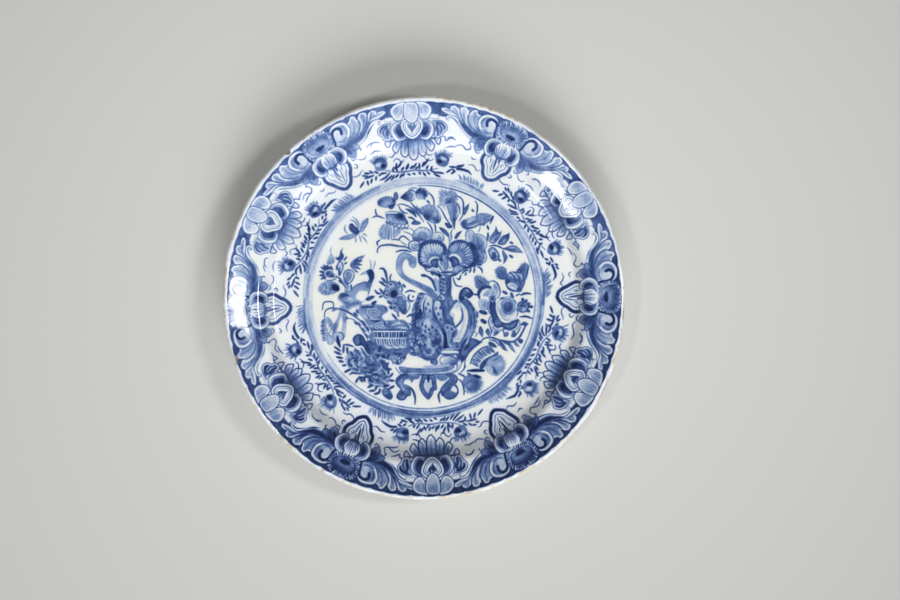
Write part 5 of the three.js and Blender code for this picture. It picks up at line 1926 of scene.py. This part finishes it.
HALF_FLANGE = FLANGE_WIDTH / 2
START_CLIMB = HALF_FLANGE * math.tan(FLANGE_START_SLOPE)
END_SLOPE = math.atan2(FLANGE_RISE - START_CLIMB, HALF_FLANGE)
LIP_TOP = np.array(
    (
        DISH_RADIUS - GLAZE_THICKNESS - LIP_RADIUS * (1 + math.sin(END_SLOPE)),
        FLOOR_HEIGHT + FLOOR_RISE + CAVETTO_RISE + FLANGE_RISE,
    )
)
SHOULDER = LIP_TOP - (FLANGE_WIDTH, FLANGE_RISE)
WELL_EDGE = SHOULDER - (CAVETTO_WIDTH, CAVETTO_RISE)
LIP_CENTRE = LIP_TOP + LIP_RADIUS * np.array((math.sin(END_SLOPE), -math.cos(END_SLOPE)))

# The height of the rim, and the place over it of the eye that the painting is drawn for, in millimetres.
# The camera stands there too.
RIM_HEIGHT = 37.8
EYE = np.array((22.52, -1.50, RIM_HEIGHT + 1849))

# Fineness of the meshes.
FACE_RINGS = 410
BACK_TURNS = 1440
BEND_POINTS = 200
LIP_POINTS = 60

# Spacing of the points along each section, in millimetres, and how many of them smooth a coat's direction.
SECTION_STEP = 0.1
BODY_STEP = 0.9
FOOT_STEP = 0.4
BACK_STEP = 0.6
FOOT_WELL_STEP = 0.8
COAT_SMOOTHING = 9

# The edges of the foot's resting face are taken off by this much.
FOOT_BEVEL = 0.3

# The radii where the rim's waves start, where they are full and beyond which chips lie, and the least depth
# of a chip, in millimetres. In a chip a coat is sunk into the clay, and lowered by a multiple of that.
WAVES_FROM = 140
WAVES_FULL = 172
CHIPS_FROM = 165
LEAST_CHIP = 0.05
COAT_SUNK = 0.35
SUNK_LOWERING = 1.5

# How far the lip strays from a true circle, in millimetres, at some turns in degrees, the share of that which
# is taken, and the share and rates of the small ripples on it.
RIM_TURNS = (-20, 0, 14, 25, 40, 55, 80, 100, 112, 130, 158, 180, 193, 210, 260, 300, 325, 337, 350, 360)
RIM_SHIFTS = (
    0.6, -0.3, -0.9, -0.4, -0.8, 0.2, 1.0, 0.9, -0.8, 0.1,
    0.8, 0.8, -0.8, -0.1, 0.2, 0.1, 0.4, 1.0, -0.9, -0.3,
)
SHIFT_SHARE = 0.8
RIPPLE_SHARE = 0.07
RIPPLE_RATES = (0.31, 0.53, 0.87)

# How worn the lip is at some turns in degrees. Two grains of roughness, as numbers of steps round the rim,
# are added to it. The bare strip has a width and a soft edge in millimetres, and wear shows by a gain less a
# start, up to a limit.
WEAR_TURNS = (0, 25, 60, 64, 72, 84, 92, 130, 136, 168, 173, 178, 184, 190, 205, 240, 262, 300, 330, 360)
WEAR_LEVELS = (
    0.3, 0.1, 0.2, 0.9, 0.8, 0.7, 0.2, 0.2, 0.5, 0.1,
    0.8, 0.2, 0.7, 0.3, 0.2, 0.4, 0.5, 0.65, 0.6, 0.35,
)
RIM_STEPS = 2048
WEAR_GRAINS = (7, 40)
WEAR_ROUGHNESS = 0.45
WEAR_WIDTH = 1.2
WEAR_SOFTNESS = 0.5
WEAR_GAIN = 1.3
WEAR_START = 0.35
WEAR_LIMIT = 0.75

# Chips in the lip: turn in degrees, half of their width in degrees, depth in millimetres.
CHIPS = (
    (133, 0.9, 2.9),
    (198, 1.5, 3.0),
    (239.5, 0.6, 1.5),
    (86, 0.35, 0.7),
    (303, 0.3, 0.6),
    (351, 0.4, 0.8),
)


def bezier(*points):
    """A smooth run of points between the first and the last, bent by those between."""
    t = np.linspace(0, 1, BEND_POINTS)[:, None]
    rank = len(points) - 1
    shares = [math.comb(rank, n) * t**n * (1 - t) ** (rank - n) for n in range(rank + 1)]
    return sum(share * np.array(point, float) for share, point in zip(shares, points))


def wall(low, high):
    """The S-shaped wall between two corners of the section."""
    low, high = np.array(low), np.array(high)
    reach = (high[0] - low[0]) / 2
    return bezier(low, low + (reach, 0), high - (reach, reach * math.tan(FLANGE_START_SLOPE)), high)


def lip(start, end, squareness=2.0):
    """The round of the lip between two turns above the horizontal; a squareness above 2 flattens its top."""
    turns = np.linspace(start, end, LIP_POINTS)
    tilted = turns - END_SLOPE
    swell = (np.abs(np.cos(tilted)) ** squareness + np.abs(np.sin(tilted)) ** squareness) ** (-1 / squareness)
    return LIP_CENTRE + LIP_RADIUS * swell[:, None] * np.column_stack((np.cos(turns), np.sin(turns)))


def face_section():
    """The clay's face from the middle of the well to halfway round the lip, as radius and height."""
    floor = bezier((0, FLOOR_HEIGHT), (WELL_EDGE[0] / 2, FLOOR_HEIGHT), WELL_EDGE)
    flange = bezier(SHOULDER, SHOULDER + (HALF_FLANGE, START_CLIMB), LIP_TOP)
    return np.vstack(
        (
            floor,
            wall(WELL_EDGE, SHOULDER)[1:],
            flange[1:],
            lip(math.pi / 2 + END_SLOPE, END_SLOPE, squareness=3.0)[1:],
        ),
    )


def cove(side):
    """The hollow side of the foot from its root down to its straight edge."""
    root = np.array((FOOT_RADIUS + side * FOOT_ROOT_WIDTH / 2, UNDERSIDE))
    edge = np.array((FOOT_RADIUS + side * FOOT_REST_WIDTH / 2, UNDERSIDE - FOOT_COVE_HEIGHT))
    return bezier(root, (edge[0], root[1]), edge)


def foot_edge(side, height):
    """A point at this height on the outer side of the foot, or on the inner side for a side of -1."""
    return np.array((FOOT_RADIUS + side * FOOT_REST_WIDTH / 2, height))


def back_wall():
    """The clay's back from halfway round the lip down to the root of the foot."""
    outer = wall(
        (WELL_EDGE[0] + WALL_SHIFT, UNDERSIDE), (SHOULDER[0] + WALL_SHIFT, SHOULDER[1] - 2 * LIP_RADIUS)
    )
    return np.vstack((lip(END_SLOPE, END_SLOPE - math.pi / 2), outer[::-1]))


def back_section():
    """The clay's back from halfway round the lip to where the foot is wiped."""
    return np.vstack((back_wall(), cove(1), foot_edge(1, BARE_FOOT_HEIGHT)))


def foot_well_section():
    """The clay's underside inside the foot, from where the foot is wiped to the middle."""
    return np.vstack((foot_edge(-1, BARE_FOOT_HEIGHT), cove(-1)[::-1], (0, UNDERSIDE)))


def spread(section, step):
    """The same section with its points spaced evenly, and how far along it each one lies."""
    lengths = np.append(0, np.cumsum(np.hypot(*np.diff(section, axis=0).T)))
    count = max(2, round(lengths[-1] / step) + 1)
    along = np.linspace(0, lengths[-1], count)
    return np.column_stack([np.interp(along, lengths, axis) for axis in section.T]), along


def coated(section, thickness):
    """A section moved outwards from the clay, which lies on the right of each step."""
    even, _ = spread(section, SECTION_STEP)
    smoothing = np.ones(COAT_SMOOTHING) / COAT_SMOOTHING
    steps = [np.pad(axis, COAT_SMOOTHING // 2, mode="edge") for axis in np.gradient(even, axis=0).T]
    steps = np.array([np.convolve(axis, smoothing, "valid") for axis in steps]).T
    outward = np.column_stack((-steps[:, 1], steps[:, 0])) / np.hypot(*steps.T)[:, None]
    return even + thickness * outward


def smooth_step(values, low, high):
    """A share that rises smoothly from 0 at the low value to 1 at the high one."""
    share = np.clip((values - low) / (high - low), 0, 1)
    return share * share * (3 - 2 * share)


def rim_wave(turn):
    """How far the lip strays from a true circle, in millimetres."""
    nearby = [np.interp((turn + aside) % 360, RIM_TURNS, RIM_SHIFTS) for aside in range(-9, 10, 3)]
    wave = np.mean(nearby, axis=0)
    ripple = sum(np.sin(turn * rate + rate * rate) / rate for rate in RIPPLE_RATES)
    return SHIFT_SHARE * wave + RIPPLE_SHARE * ripple


def chip_depth(turn, height):
    """How deep the lip is broken away, deeper on the face than on the back."""
    slant = 0.35 + 0.65 * np.clip((height - LIP_CENTRE[1] + 2) / 4, 0, 1)
    depth = np.zeros(np.broadcast(turn, height).shape)
    for centre, half_width, deepest in CHIPS:
        away = (turn - centre + 180) % 360 - 180
        ragged = 1 + 0.18 * np.sin(away * 9) + 0.1 * np.sin(away * 23 + 1)
        depth = np.maximum(depth, deepest * ragged * np.clip(1 - (away / half_width) ** 2, 0, None) ** 0.6)
    return depth * slant


def placed(turn, radius, height, sunk=0.0):
    """Points of a turned surface with the lip's waves and chips; a coat is sunk into the clay in a chip."""
    degrees = np.degrees(turn)
    share = smooth_step(radius, WAVES_FROM, WAVES_FULL)
    radius = radius + share * rim_wave(degrees)
    depth = np.where(radius > CHIPS_FROM, chip_depth(degrees, height), 0)
    edge = DISH_RADIUS + share * rim_wave(degrees) - GLAZE_THICKNESS - depth
    broken = (depth > LEAST_CHIP) & (radius > edge - sunk)
    radius = np.where(broken, edge - sunk, radius)
    height = np.where(broken, height - SUNK_LOWERING * sunk, height)
    return radius, height, broken


def make_mesh(name, points, faces, spots, material):
    """A mesh object in metres, from points in millimetres.

    The spots are the places on its bake layout, one for each corner of each face.
    """
    mesh = bpy.data.meshes.new(name)
    mesh.vertices.add(len(points))
    mesh.vertices.foreach_set("co", (points / 1000).astype(np.float32).ravel())
    sides = faces.shape[1]
    mesh.loops.add(faces.size)
    mesh.loops.foreach_set("vertex_index", faces.astype(np.int32).ravel())
    mesh.polygons.add(len(faces))
    mesh.polygons.foreach_set("loop_start", np.arange(0, faces.size, sides, dtype=np.int32))
    layout = mesh.uv_layers.new(name="OFBake")
    layout.data.foreach_set("uv", spots.astype(np.float32).ravel())
    mesh.update(calc_edges=True)
    mesh.polygons.foreach_set("use_smooth", np.ones(len(faces), bool))
    piece = bpy.data.objects.new(name, mesh)
    bpy.context.scene.collection.objects.link(piece)
    mesh.materials.append(material)
    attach(piece, "root")
    return piece


def add_attribute(piece, name, values):
    """Stores a value for each point of a piece, which its material reads by this name."""
    layer = piece.data.attributes.new(name, "FLOAT", "POINT")
    layer.data.foreach_set("value", values.astype(np.float32).ravel())


def turned(name, section, step, material, sunk=0.0):
    """A piece made by turning a section round the dish's axis."""
    section, along = spread(section, step)
    turns = np.linspace(0, 2 * np.pi, BACK_TURNS, endpoint=False)[:, None]
    radius, height, _ = placed(turns, section[:, 0][None], section[:, 1][None], sunk)
    points = np.stack(
        (radius * np.cos(turns), radius * np.sin(turns), np.broadcast_to(height, radius.shape)), -1
    )
    rows, columns = radius.shape
    row, column = np.meshgrid(np.arange(rows), np.arange(columns - 1), indexing="ij")
    corners = ((row, column), (row, column + 1), (row + 1, column + 1), (row + 1, column))
    faces = np.stack([(r % rows) * columns + c for r, c in corners], -1).reshape(-1, 4)
    spots = np.stack([np.stack((r / rows, along[c] / along[-1]), -1) for r, c in corners], -2).reshape(-1, 2)
    return make_mesh(
        name, points.reshape(-1, 3), faces[:, ::-1], spots.reshape(-1, 4, 2)[:, ::-1], material
    )


def disc_grid(rings):
    """A square grid bent into a disc.

    It gives where each point lies on the square, its share of the disc's radius and its turn.
    """
    cells = np.arange(-rings, rings + 1) / rings
    across, up = np.meshgrid(cells, cells)
    wide = np.abs(across) >= np.abs(up)
    share = np.maximum(np.abs(across), np.abs(up))
    with np.errstate(divide="ignore", invalid="ignore"):
        flat = np.pi / 4 * up / across + np.where(across < 0, np.pi, 0)
        steep = np.pi / 2 - np.pi / 4 * across / up + np.where(up < 0, np.pi, 0)
    turn = np.nan_to_num(np.where(wide, flat, steep))
    return across, up, share, turn


def sampled(sheet, points):
    """The strength of cobalt at each point of the face, which stays fixed to the mesh.

    The sheet is drawn as the eye over the dish sees it on the rim's plane. So a point below that plane takes
    the strength where the line from the eye to it crosses the plane.
    """
    share = (EYE[2] - RIM_HEIGHT) / (EYE[2] - points[:, 2])
    seen = EYE[:2] + (points[:, :2] - EYE[:2]) * share[:, None]
    column, row = (np.clip(seen, -SHEET_REACH + 1, SHEET_REACH - 1).T + SHEET_REACH) / SHEET_PITCH
    left, low = column.astype(int), row.astype(int)
    right_share, up_share = column - left, row - low
    lower = sheet.ink[low, left] * (1 - right_share) + sheet.ink[low, left + 1] * right_share
    upper = sheet.ink[low + 1, left] * (1 - right_share) + sheet.ink[low + 1, left + 1] * right_share
    return lower * (1 - up_share) + upper * up_share


def make_face(sheet, material):
    """The glazed and painted face, fine enough to carry the painting on its points."""
    across, up, share, turn = disc_grid(FACE_RINGS)
    section, along = spread(coated(face_section(), GLAZE_THICKNESS), SECTION_STEP)
    radius = np.interp(share * along[-1], along, section[:, 0])
    height = np.interp(share * along[-1], along, section[:, 1])
    radius, height, broken = placed(turn, radius, height, sunk=COAT_SUNK)
    points = np.stack((radius * np.cos(turn), radius * np.sin(turn), height), -1).reshape(-1, 3)
    side = 2 * FACE_RINGS + 1
    row, column = np.meshgrid(np.arange(side - 1), np.arange(side - 1), indexing="ij")
    corner = (row * side + column).ravel()
    faces = np.column_stack((corner, corner + 1, corner + side + 1, corner + side))
    spots = np.column_stack((across.ravel(), up.ravel()))[faces.ravel()] / 2 + 0.5
    face = make_mesh("painted_face", points, faces, spots, material)
    add_attribute(face, "cobalt", sampled(sheet, points))
    add_attribute(face, "worn", worn_lip(turn, radius, broken))
    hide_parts("face_glaze")


def worn_lip(turn, radius, broken):
    """Where the glaze is rubbed or flaked off the lip, from 0 to 1."""
    degrees = np.degrees(turn) % 360
    around = np.random.default_rng(12).normal(size=(2, RIM_STEPS))
    place = degrees / 360 * RIM_STEPS
    rough = 0
    for row, width in zip(around, WEAR_GRAINS):
        thrice = np.convolve(np.tile(row, 3), np.ones(width) / width**0.5, "same")
        grains = thrice[RIM_STEPS : 2 * RIM_STEPS]
        rough = rough + 0.5 * np.interp(place, np.arange(RIM_STEPS), grains, period=RIM_STEPS)
    level = np.interp(degrees, WEAR_TURNS, WEAR_LEVELS) + WEAR_ROUGHNESS * rough
    inner_edge = DISH_RADIUS - WEAR_WIDTH - WEAR_WIDTH * np.clip(level, 0, 1.5)
    edge = smooth_step(radius, inner_edge - WEAR_SOFTNESS, inner_edge + WEAR_SOFTNESS)
    return np.maximum(edge * np.clip(level * WEAR_GAIN - WEAR_START, 0, WEAR_LIMIT), broken)


def make_turned_pieces(clay, white):
    """The clay body, its foot ring and the two coats of the underside."""
    body = np.vstack((face_section()[::3], back_wall()[::3], foot_well_section()[-2:]))
    piece = turned("clay_body", body, BODY_STEP, clay)
    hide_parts("earthenware_body")
    foot = np.vstack(
        (
            cove(1),
            foot_edge(1, FOOT_BEVEL),
            foot_edge(1, 0) - (FOOT_BEVEL, 0),
            foot_edge(-1, 0) + (FOOT_BEVEL, 0),
            foot_edge(-1, FOOT_BEVEL),
            cove(-1)[::-1],
        ),
    )
    piece = turned("turned_foot", np.vstack((foot, foot[:1])), FOOT_STEP, clay)
    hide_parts("foot_ring")
    back = np.vstack((coated(back_section(), GLAZE_THICKNESS), foot_edge(1, BARE_FOOT_HEIGHT)))
    piece = turned("back_coat", back, BACK_STEP, white, sunk=COAT_SUNK)
    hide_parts("back_glaze")
    well = np.vstack((foot_edge(-1, BARE_FOOT_HEIGHT), coated(foot_well_section(), GLAZE_THICKNESS)))
    piece = turned("foot_well_coat", well, FOOT_WELL_STEP, white)
    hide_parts("foot_well_glaze")


def linear(red, green, blue):
    """A colour from its 8-bit values."""
    shares = np.array((red, green, blue)) / 255
    return (*np.where(shares > 0.04045, ((shares + 0.055) / 1.055) ** 2.4, shares / 12.92), 1.0)


class Nodes:
    """The shader nodes of one material, added and joined in few words."""

    def __init__(self, name):
        self.material = bpy.data.materials.new(name)
        self.material.use_nodes = True
        self.tree = self.material.node_tree
        self.shader = self.tree.nodes["Principled BSDF"]

    def add(self, kind, inputs=None, **settings):
        node = self.tree.nodes.new(kind)
        for setting, value in settings.items():
            setattr(node, setting, value)
        self.join(node, inputs or {})
        return node

    def join(self, node, inputs):
        """Links a node's inputs to other nodes' outputs, and sets the rest to their values."""
        for socket, value in inputs.items():
            if isinstance(value, bpy.types.NodeSocket):
                self.tree.links.new(value, node.inputs[socket])
            else:
                node.inputs[socket].default_value = value

    def noise(self, scale, detail=2.0, roughness=0.5):
        """Noise in the dish's own space, with a scale in cells for each metre."""
        spot = self.add("ShaderNodeTexCoord").outputs["Object"]
        return self.add(
            "ShaderNodeTexNoise", {"Vector": spot, "Scale": scale, "Detail": detail, "Roughness": roughness}
        ).outputs["Fac"]

    def inner_share(self, inner, outer):
        """A share that is high within one radius of the dish's axis and low beyond another, in metres."""
        spot = self.add("ShaderNodeTexCoord").outputs["Object"]
        flat = self.add("ShaderNodeVectorMath", {0: spot, 1: (1, 1, 0)}, operation="MULTIPLY")
        radius = self.add("ShaderNodeVectorMath", {0: flat.outputs["Vector"]}, operation="LENGTH")
        return self.span(radius.outputs["Value"], inner, outer, *INNER_AND_OUTER_WARMTH)

    def math(self, operation, first, second=0.0):
        return self.add("ShaderNodeMath", {0: first, 1: second}, operation=operation).outputs[0]

    def span(self, value, low, high, to_low=0.0, to_high=1.0):
        """A value carried from one span to another and kept inside it."""
        inputs = {"Value": value, "From Min": low, "From Max": high, "To Min": to_low, "To Max": to_high}
        return self.add("ShaderNodeMapRange", inputs).outputs["Result"]

    def mix(self, share, first, second, blend="MIX"):
        """The first colour, turned into the second by a share."""
        node = self.add("ShaderNodeMix", data_type="RGBA", blend_type=blend)
        self.join(node, {0: share, 6: first, 7: second})
        return node.outputs[2]

    def ramp(self, value, stops):
        """A colour looked up by a value, from stops of a place and a colour."""
        node = self.add("ShaderNodeValToRGB", {"Fac": value})
        band = node.color_ramp
        while len(band.elements) < len(stops):
            band.elements.new(0.5)
        for element, (place, colour) in zip(band.elements, stops):
            element.position = place
            element.color = colour
        return node.outputs["Color"]

    def bump(self, strength, reach, height, before=None):
        """A normal bent by a height, with its reach in metres, on top of an earlier normal."""
        inputs = {"Strength": strength, "Distance": reach, "Height": height}
        if before:
            inputs["Normal"] = before
        return self.add("ShaderNodeBump", inputs).outputs["Normal"]


CLAY_LIGHT = linear(205, 184, 150)
CLAY_DARK = linear(150, 122, 88)
CLAY_SAND = linear(112, 88, 62)
WORN_LIGHT = linear(218, 205, 176)
WORN_DARK = linear(178, 154, 118)
GLAZE_WHITE = linear(240, 242, 238)
GLAZE_WARM = linear(238, 236, 222)
FACE_PINHOLE = linear(120, 104, 84)
BACK_PINHOLE = linear(128, 106, 80)
FLOOR_GREY = linear(214, 214, 212)

# The glaze's colour at each strength of cobalt.
COBALT_COLOURS = (
    (WHITE, linear(240, 244, 248)),
    (FAINT, linear(208, 217, 234)),
    (PALE, linear(174, 191, 218)),
    (MID, linear(132, 155, 197)),
    (BLUE, linear(90, 116, 167)),
    (DARK, linear(52, 74, 128)),
    (NAVY, linear(18, 33, 73)),
)

# The glaze is warmer in the well than on the border: how warm on either side of the wall, whose two radii are
# in metres, and the tints of the warm glaze, bare and under pale cobalt.
INNER_AND_OUTER_WARMTH = (0.68, 0.15)
WARM_WITHIN = (0.09, 0.1)
WARM_WHITE = linear(255, 252, 236)
WARM_COBALT = linear(250, 254, 253)


def clay_material():
    """Matt buff fired clay with a fine grain and a few darker grains of sand."""
    nodes = Nodes("fired_clay")
    coarse = nodes.noise(180, 4.0, 0.6)
    fine = nodes.noise(1500, 3.0, 0.6)
    colour = nodes.mix(nodes.span(coarse, 0.35, 0.7), CLAY_LIGHT, CLAY_DARK)
    sand = nodes.span(fine, 0.62, 0.7)
    colour = nodes.mix(nodes.math("MULTIPLY", sand, 0.5), colour, CLAY_SAND)
    normal = nodes.bump(0.5, 0.0002, fine)
    nodes.join(nodes.shader, {"Base Color": colour, "Roughness": 0.9, "Normal": normal})
    return nodes.material


def glaze_surface(nodes, strength=1.0):
    """The soft waves and pinholes of a tin glaze, as a normal, and the pinholes alone."""
    spot = nodes.add("ShaderNodeTexCoord").outputs["Object"]
    cells = nodes.add("ShaderNodeTexVoronoi", {"Vector": spot, "Scale": 130.0})
    pinholes = nodes.span(cells.outputs["Distance"], 0.035, 0.055, 1.0, 0.0)
    some = nodes.span(nodes.noise(60), 0.56, 0.62)
    pinholes = nodes.math("MULTIPLY", pinholes, some)
    waves = nodes.bump(0.35 * strength, 0.0012, nodes.noise(38, 1.0))
    peel = nodes.bump(0.25 * strength, 0.00012, nodes.noise(420, 2.0), waves)
    pits = nodes.math("SUBTRACT", 1.0, pinholes)
    return nodes.bump(0.6, 0.00025, pits, peel), pinholes


# The scene's darkest cobalt is livelier than the border's, by these shares of red, green and blue.
VIVID_COBALT = (0.84, 0.98, 1.14, 1)


def painted_material():
    """White tin glaze with cobalt fired into it, worn to the clay at the lip."""
    nodes = Nodes("painted_tin_glaze")
    cobalt = nodes.add("ShaderNodeAttribute", attribute_name="cobalt").outputs["Fac"]
    worn = nodes.add("ShaderNodeAttribute", attribute_name="worn").outputs["Fac"]
    wash = nodes.math("ADD", nodes.math("MULTIPLY", nodes.noise(700, 3.0), 0.16), -0.08)
    depth = nodes.math("MULTIPLY", cobalt, nodes.math("ADD", 1.0, wash))
    blue = nodes.ramp(depth, COBALT_COLOURS)
    clouds = nodes.span(nodes.noise(26, 3.0), 0.35, 0.65, -0.3, 0.3)
    warm = nodes.math("ADD", clouds, nodes.inner_share(*WARM_WITHIN))
    paint = nodes.mix(nodes.span(cobalt, 0.6, 1.0), WARM_COBALT, VIVID_COBALT)
    warmth = nodes.mix(nodes.span(cobalt, 0.1, 0.3), WARM_WHITE, paint)
    tint = nodes.mix(nodes.span(warm, 0.0, 1.0), (1, 1, 1, 1), warmth)
    colour = nodes.mix(1.0, blue, tint, "MULTIPLY")
    normal, pinholes = glaze_surface(nodes)
    colour = nodes.mix(nodes.math("MULTIPLY", pinholes, 0.6), colour, FACE_PINHOLE)
    clay = nodes.mix(nodes.span(nodes.noise(260, 4.0), 0.35, 0.7), WORN_LIGHT, WORN_DARK)
    colour = nodes.mix(worn, colour, clay)
    gloss = nodes.span(nodes.noise(90, 2.0), 0.3, 0.7, 0.06, 0.12)
    roughness = nodes.math("ADD", gloss, nodes.math("MULTIPLY", worn, 0.6))
    nodes.join(nodes.shader, {"Base Color": colour, "Roughness": roughness, "IOR": 1.5, "Normal": normal})
    return nodes.material


def white_material():
    """The plain tin glaze of the back, a little uneven in tone."""
    nodes = Nodes("plain_tin_glaze")
    colour = nodes.mix(nodes.span(nodes.noise(16, 4.0), 0.38, 0.66), GLAZE_WHITE, GLAZE_WARM)
    normal, pinholes = glaze_surface(nodes, 1.4)
    colour = nodes.mix(nodes.math("MULTIPLY", pinholes, 0.8), colour, BACK_PINHOLE)
    roughness = nodes.span(nodes.noise(70, 2.0), 0.3, 0.7, 0.14, 0.26)
    nodes.join(nodes.shader, {"Base Color": colour, "Roughness": roughness, "IOR": 1.5, "Normal": normal})
    return nodes.material


def floor_material():
    """Plain pale grey."""
    nodes = Nodes("pale_floor")
    nodes.join(nodes.shader, {"Base Color": FLOOR_GREY, "Roughness": 0.9})
    return nodes.material


# How far the floor reaches to each side, and the point that the lights are aimed at, in metres.
FLOOR_REACH = 3.0
AIM = Vector((-0.05, 0.12, 0.03))

# The strength of the light from all round.
WORLD_STRENGTH = 0.23

# The camera's lens and the width of its sensor in millimetres, and how near and far it sees in metres.
LENS_LENGTH = 85
SENSOR_WIDTH = 36
NEAREST_SEEN = 0.05
FURTHEST_SEEN = 20


def make_floor():
    """A square floor under the foot's resting face."""
    mesh = bpy.data.meshes.new("floor")
    corners = [(FLOOR_REACH * x, FLOOR_REACH * y, 0) for x, y in ((-1, -1), (1, -1), (1, 1), (-1, 1))]
    mesh.from_pydata(corners, [], [(0, 1, 2, 3)])
    mesh.materials.append(floor_material())
    floor = bpy.data.objects.new("floor", mesh)
    bpy.context.scene.collection.objects.link(floor)


def make_light(name, turn, lean, distance, size, spread, power):
    """A soft box aimed at the dish: its turn round the axis, its lean from it and its spread, in degrees."""
    lamp = bpy.data.lights.new(name, "AREA")
    lamp.shape = "RECTANGLE"
    lamp.size, lamp.size_y = size
    lamp.spread = math.radians(spread)
    lamp.energy = power
    light = bpy.data.objects.new(name, lamp)
    turn, lean = math.radians(turn), math.radians(lean)
    aside = distance * math.sin(lean)
    light.location = (aside * math.cos(turn), aside * math.sin(turn), distance * math.cos(lean))
    light.rotation_euler = (light.location - AIM).to_track_quat("Z", "Y").to_euler()
    bpy.context.scene.collection.objects.link(light)
    return light


def make_lights():
    """Two small soft boxes that glint in the glaze, a wide light that doesn't, and light from all round."""
    make_light(
        "lower_left_softbox", turn=217.5, lean=23, distance=1.6, size=(0.1, 0.22), spread=65, power=0.38
    )
    make_light("right_softbox", turn=3, lean=33, distance=1.6, size=(0.2, 0.38), spread=65, power=0.85)
    window = make_light(
        "window_below", turn=280, lean=55, distance=3.2, size=(2.4, 1.9), spread=60, power=14.6
    )
    window.visible_glossy = False
    world = bpy.data.worlds.new("studio")
    world.use_nodes = True
    background = world.node_tree.nodes["Background"]
    background.inputs["Color"].default_value = (1, 1, 1, 1)
    background.inputs["Strength"].default_value = WORLD_STRENGTH
    bpy.context.scene.world = world


def make_camera():
    """The camera at the eye over the dish, looking straight down."""
    lens = bpy.data.cameras.new("camera")
    lens.lens = LENS_LENGTH
    lens.sensor_width = SENSOR_WIDTH
    lens.clip_start = NEAREST_SEEN
    lens.clip_end = FURTHEST_SEEN
    camera = bpy.data.objects.new("camera", lens)
    camera.location = EYE / 1000
    bpy.context.scene.collection.objects.link(camera)
    bpy.context.scene.camera = camera


def main():
    """Makes the dish, the floor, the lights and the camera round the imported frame."""
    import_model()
    make_face(painted_sheet(), painted_material())
    make_turned_pieces(clay_material(), white_material())
    make_floor()
    make_lights()
    make_camera()
    bpy.context.scene.view_settings.view_transform = "Standard"


main()
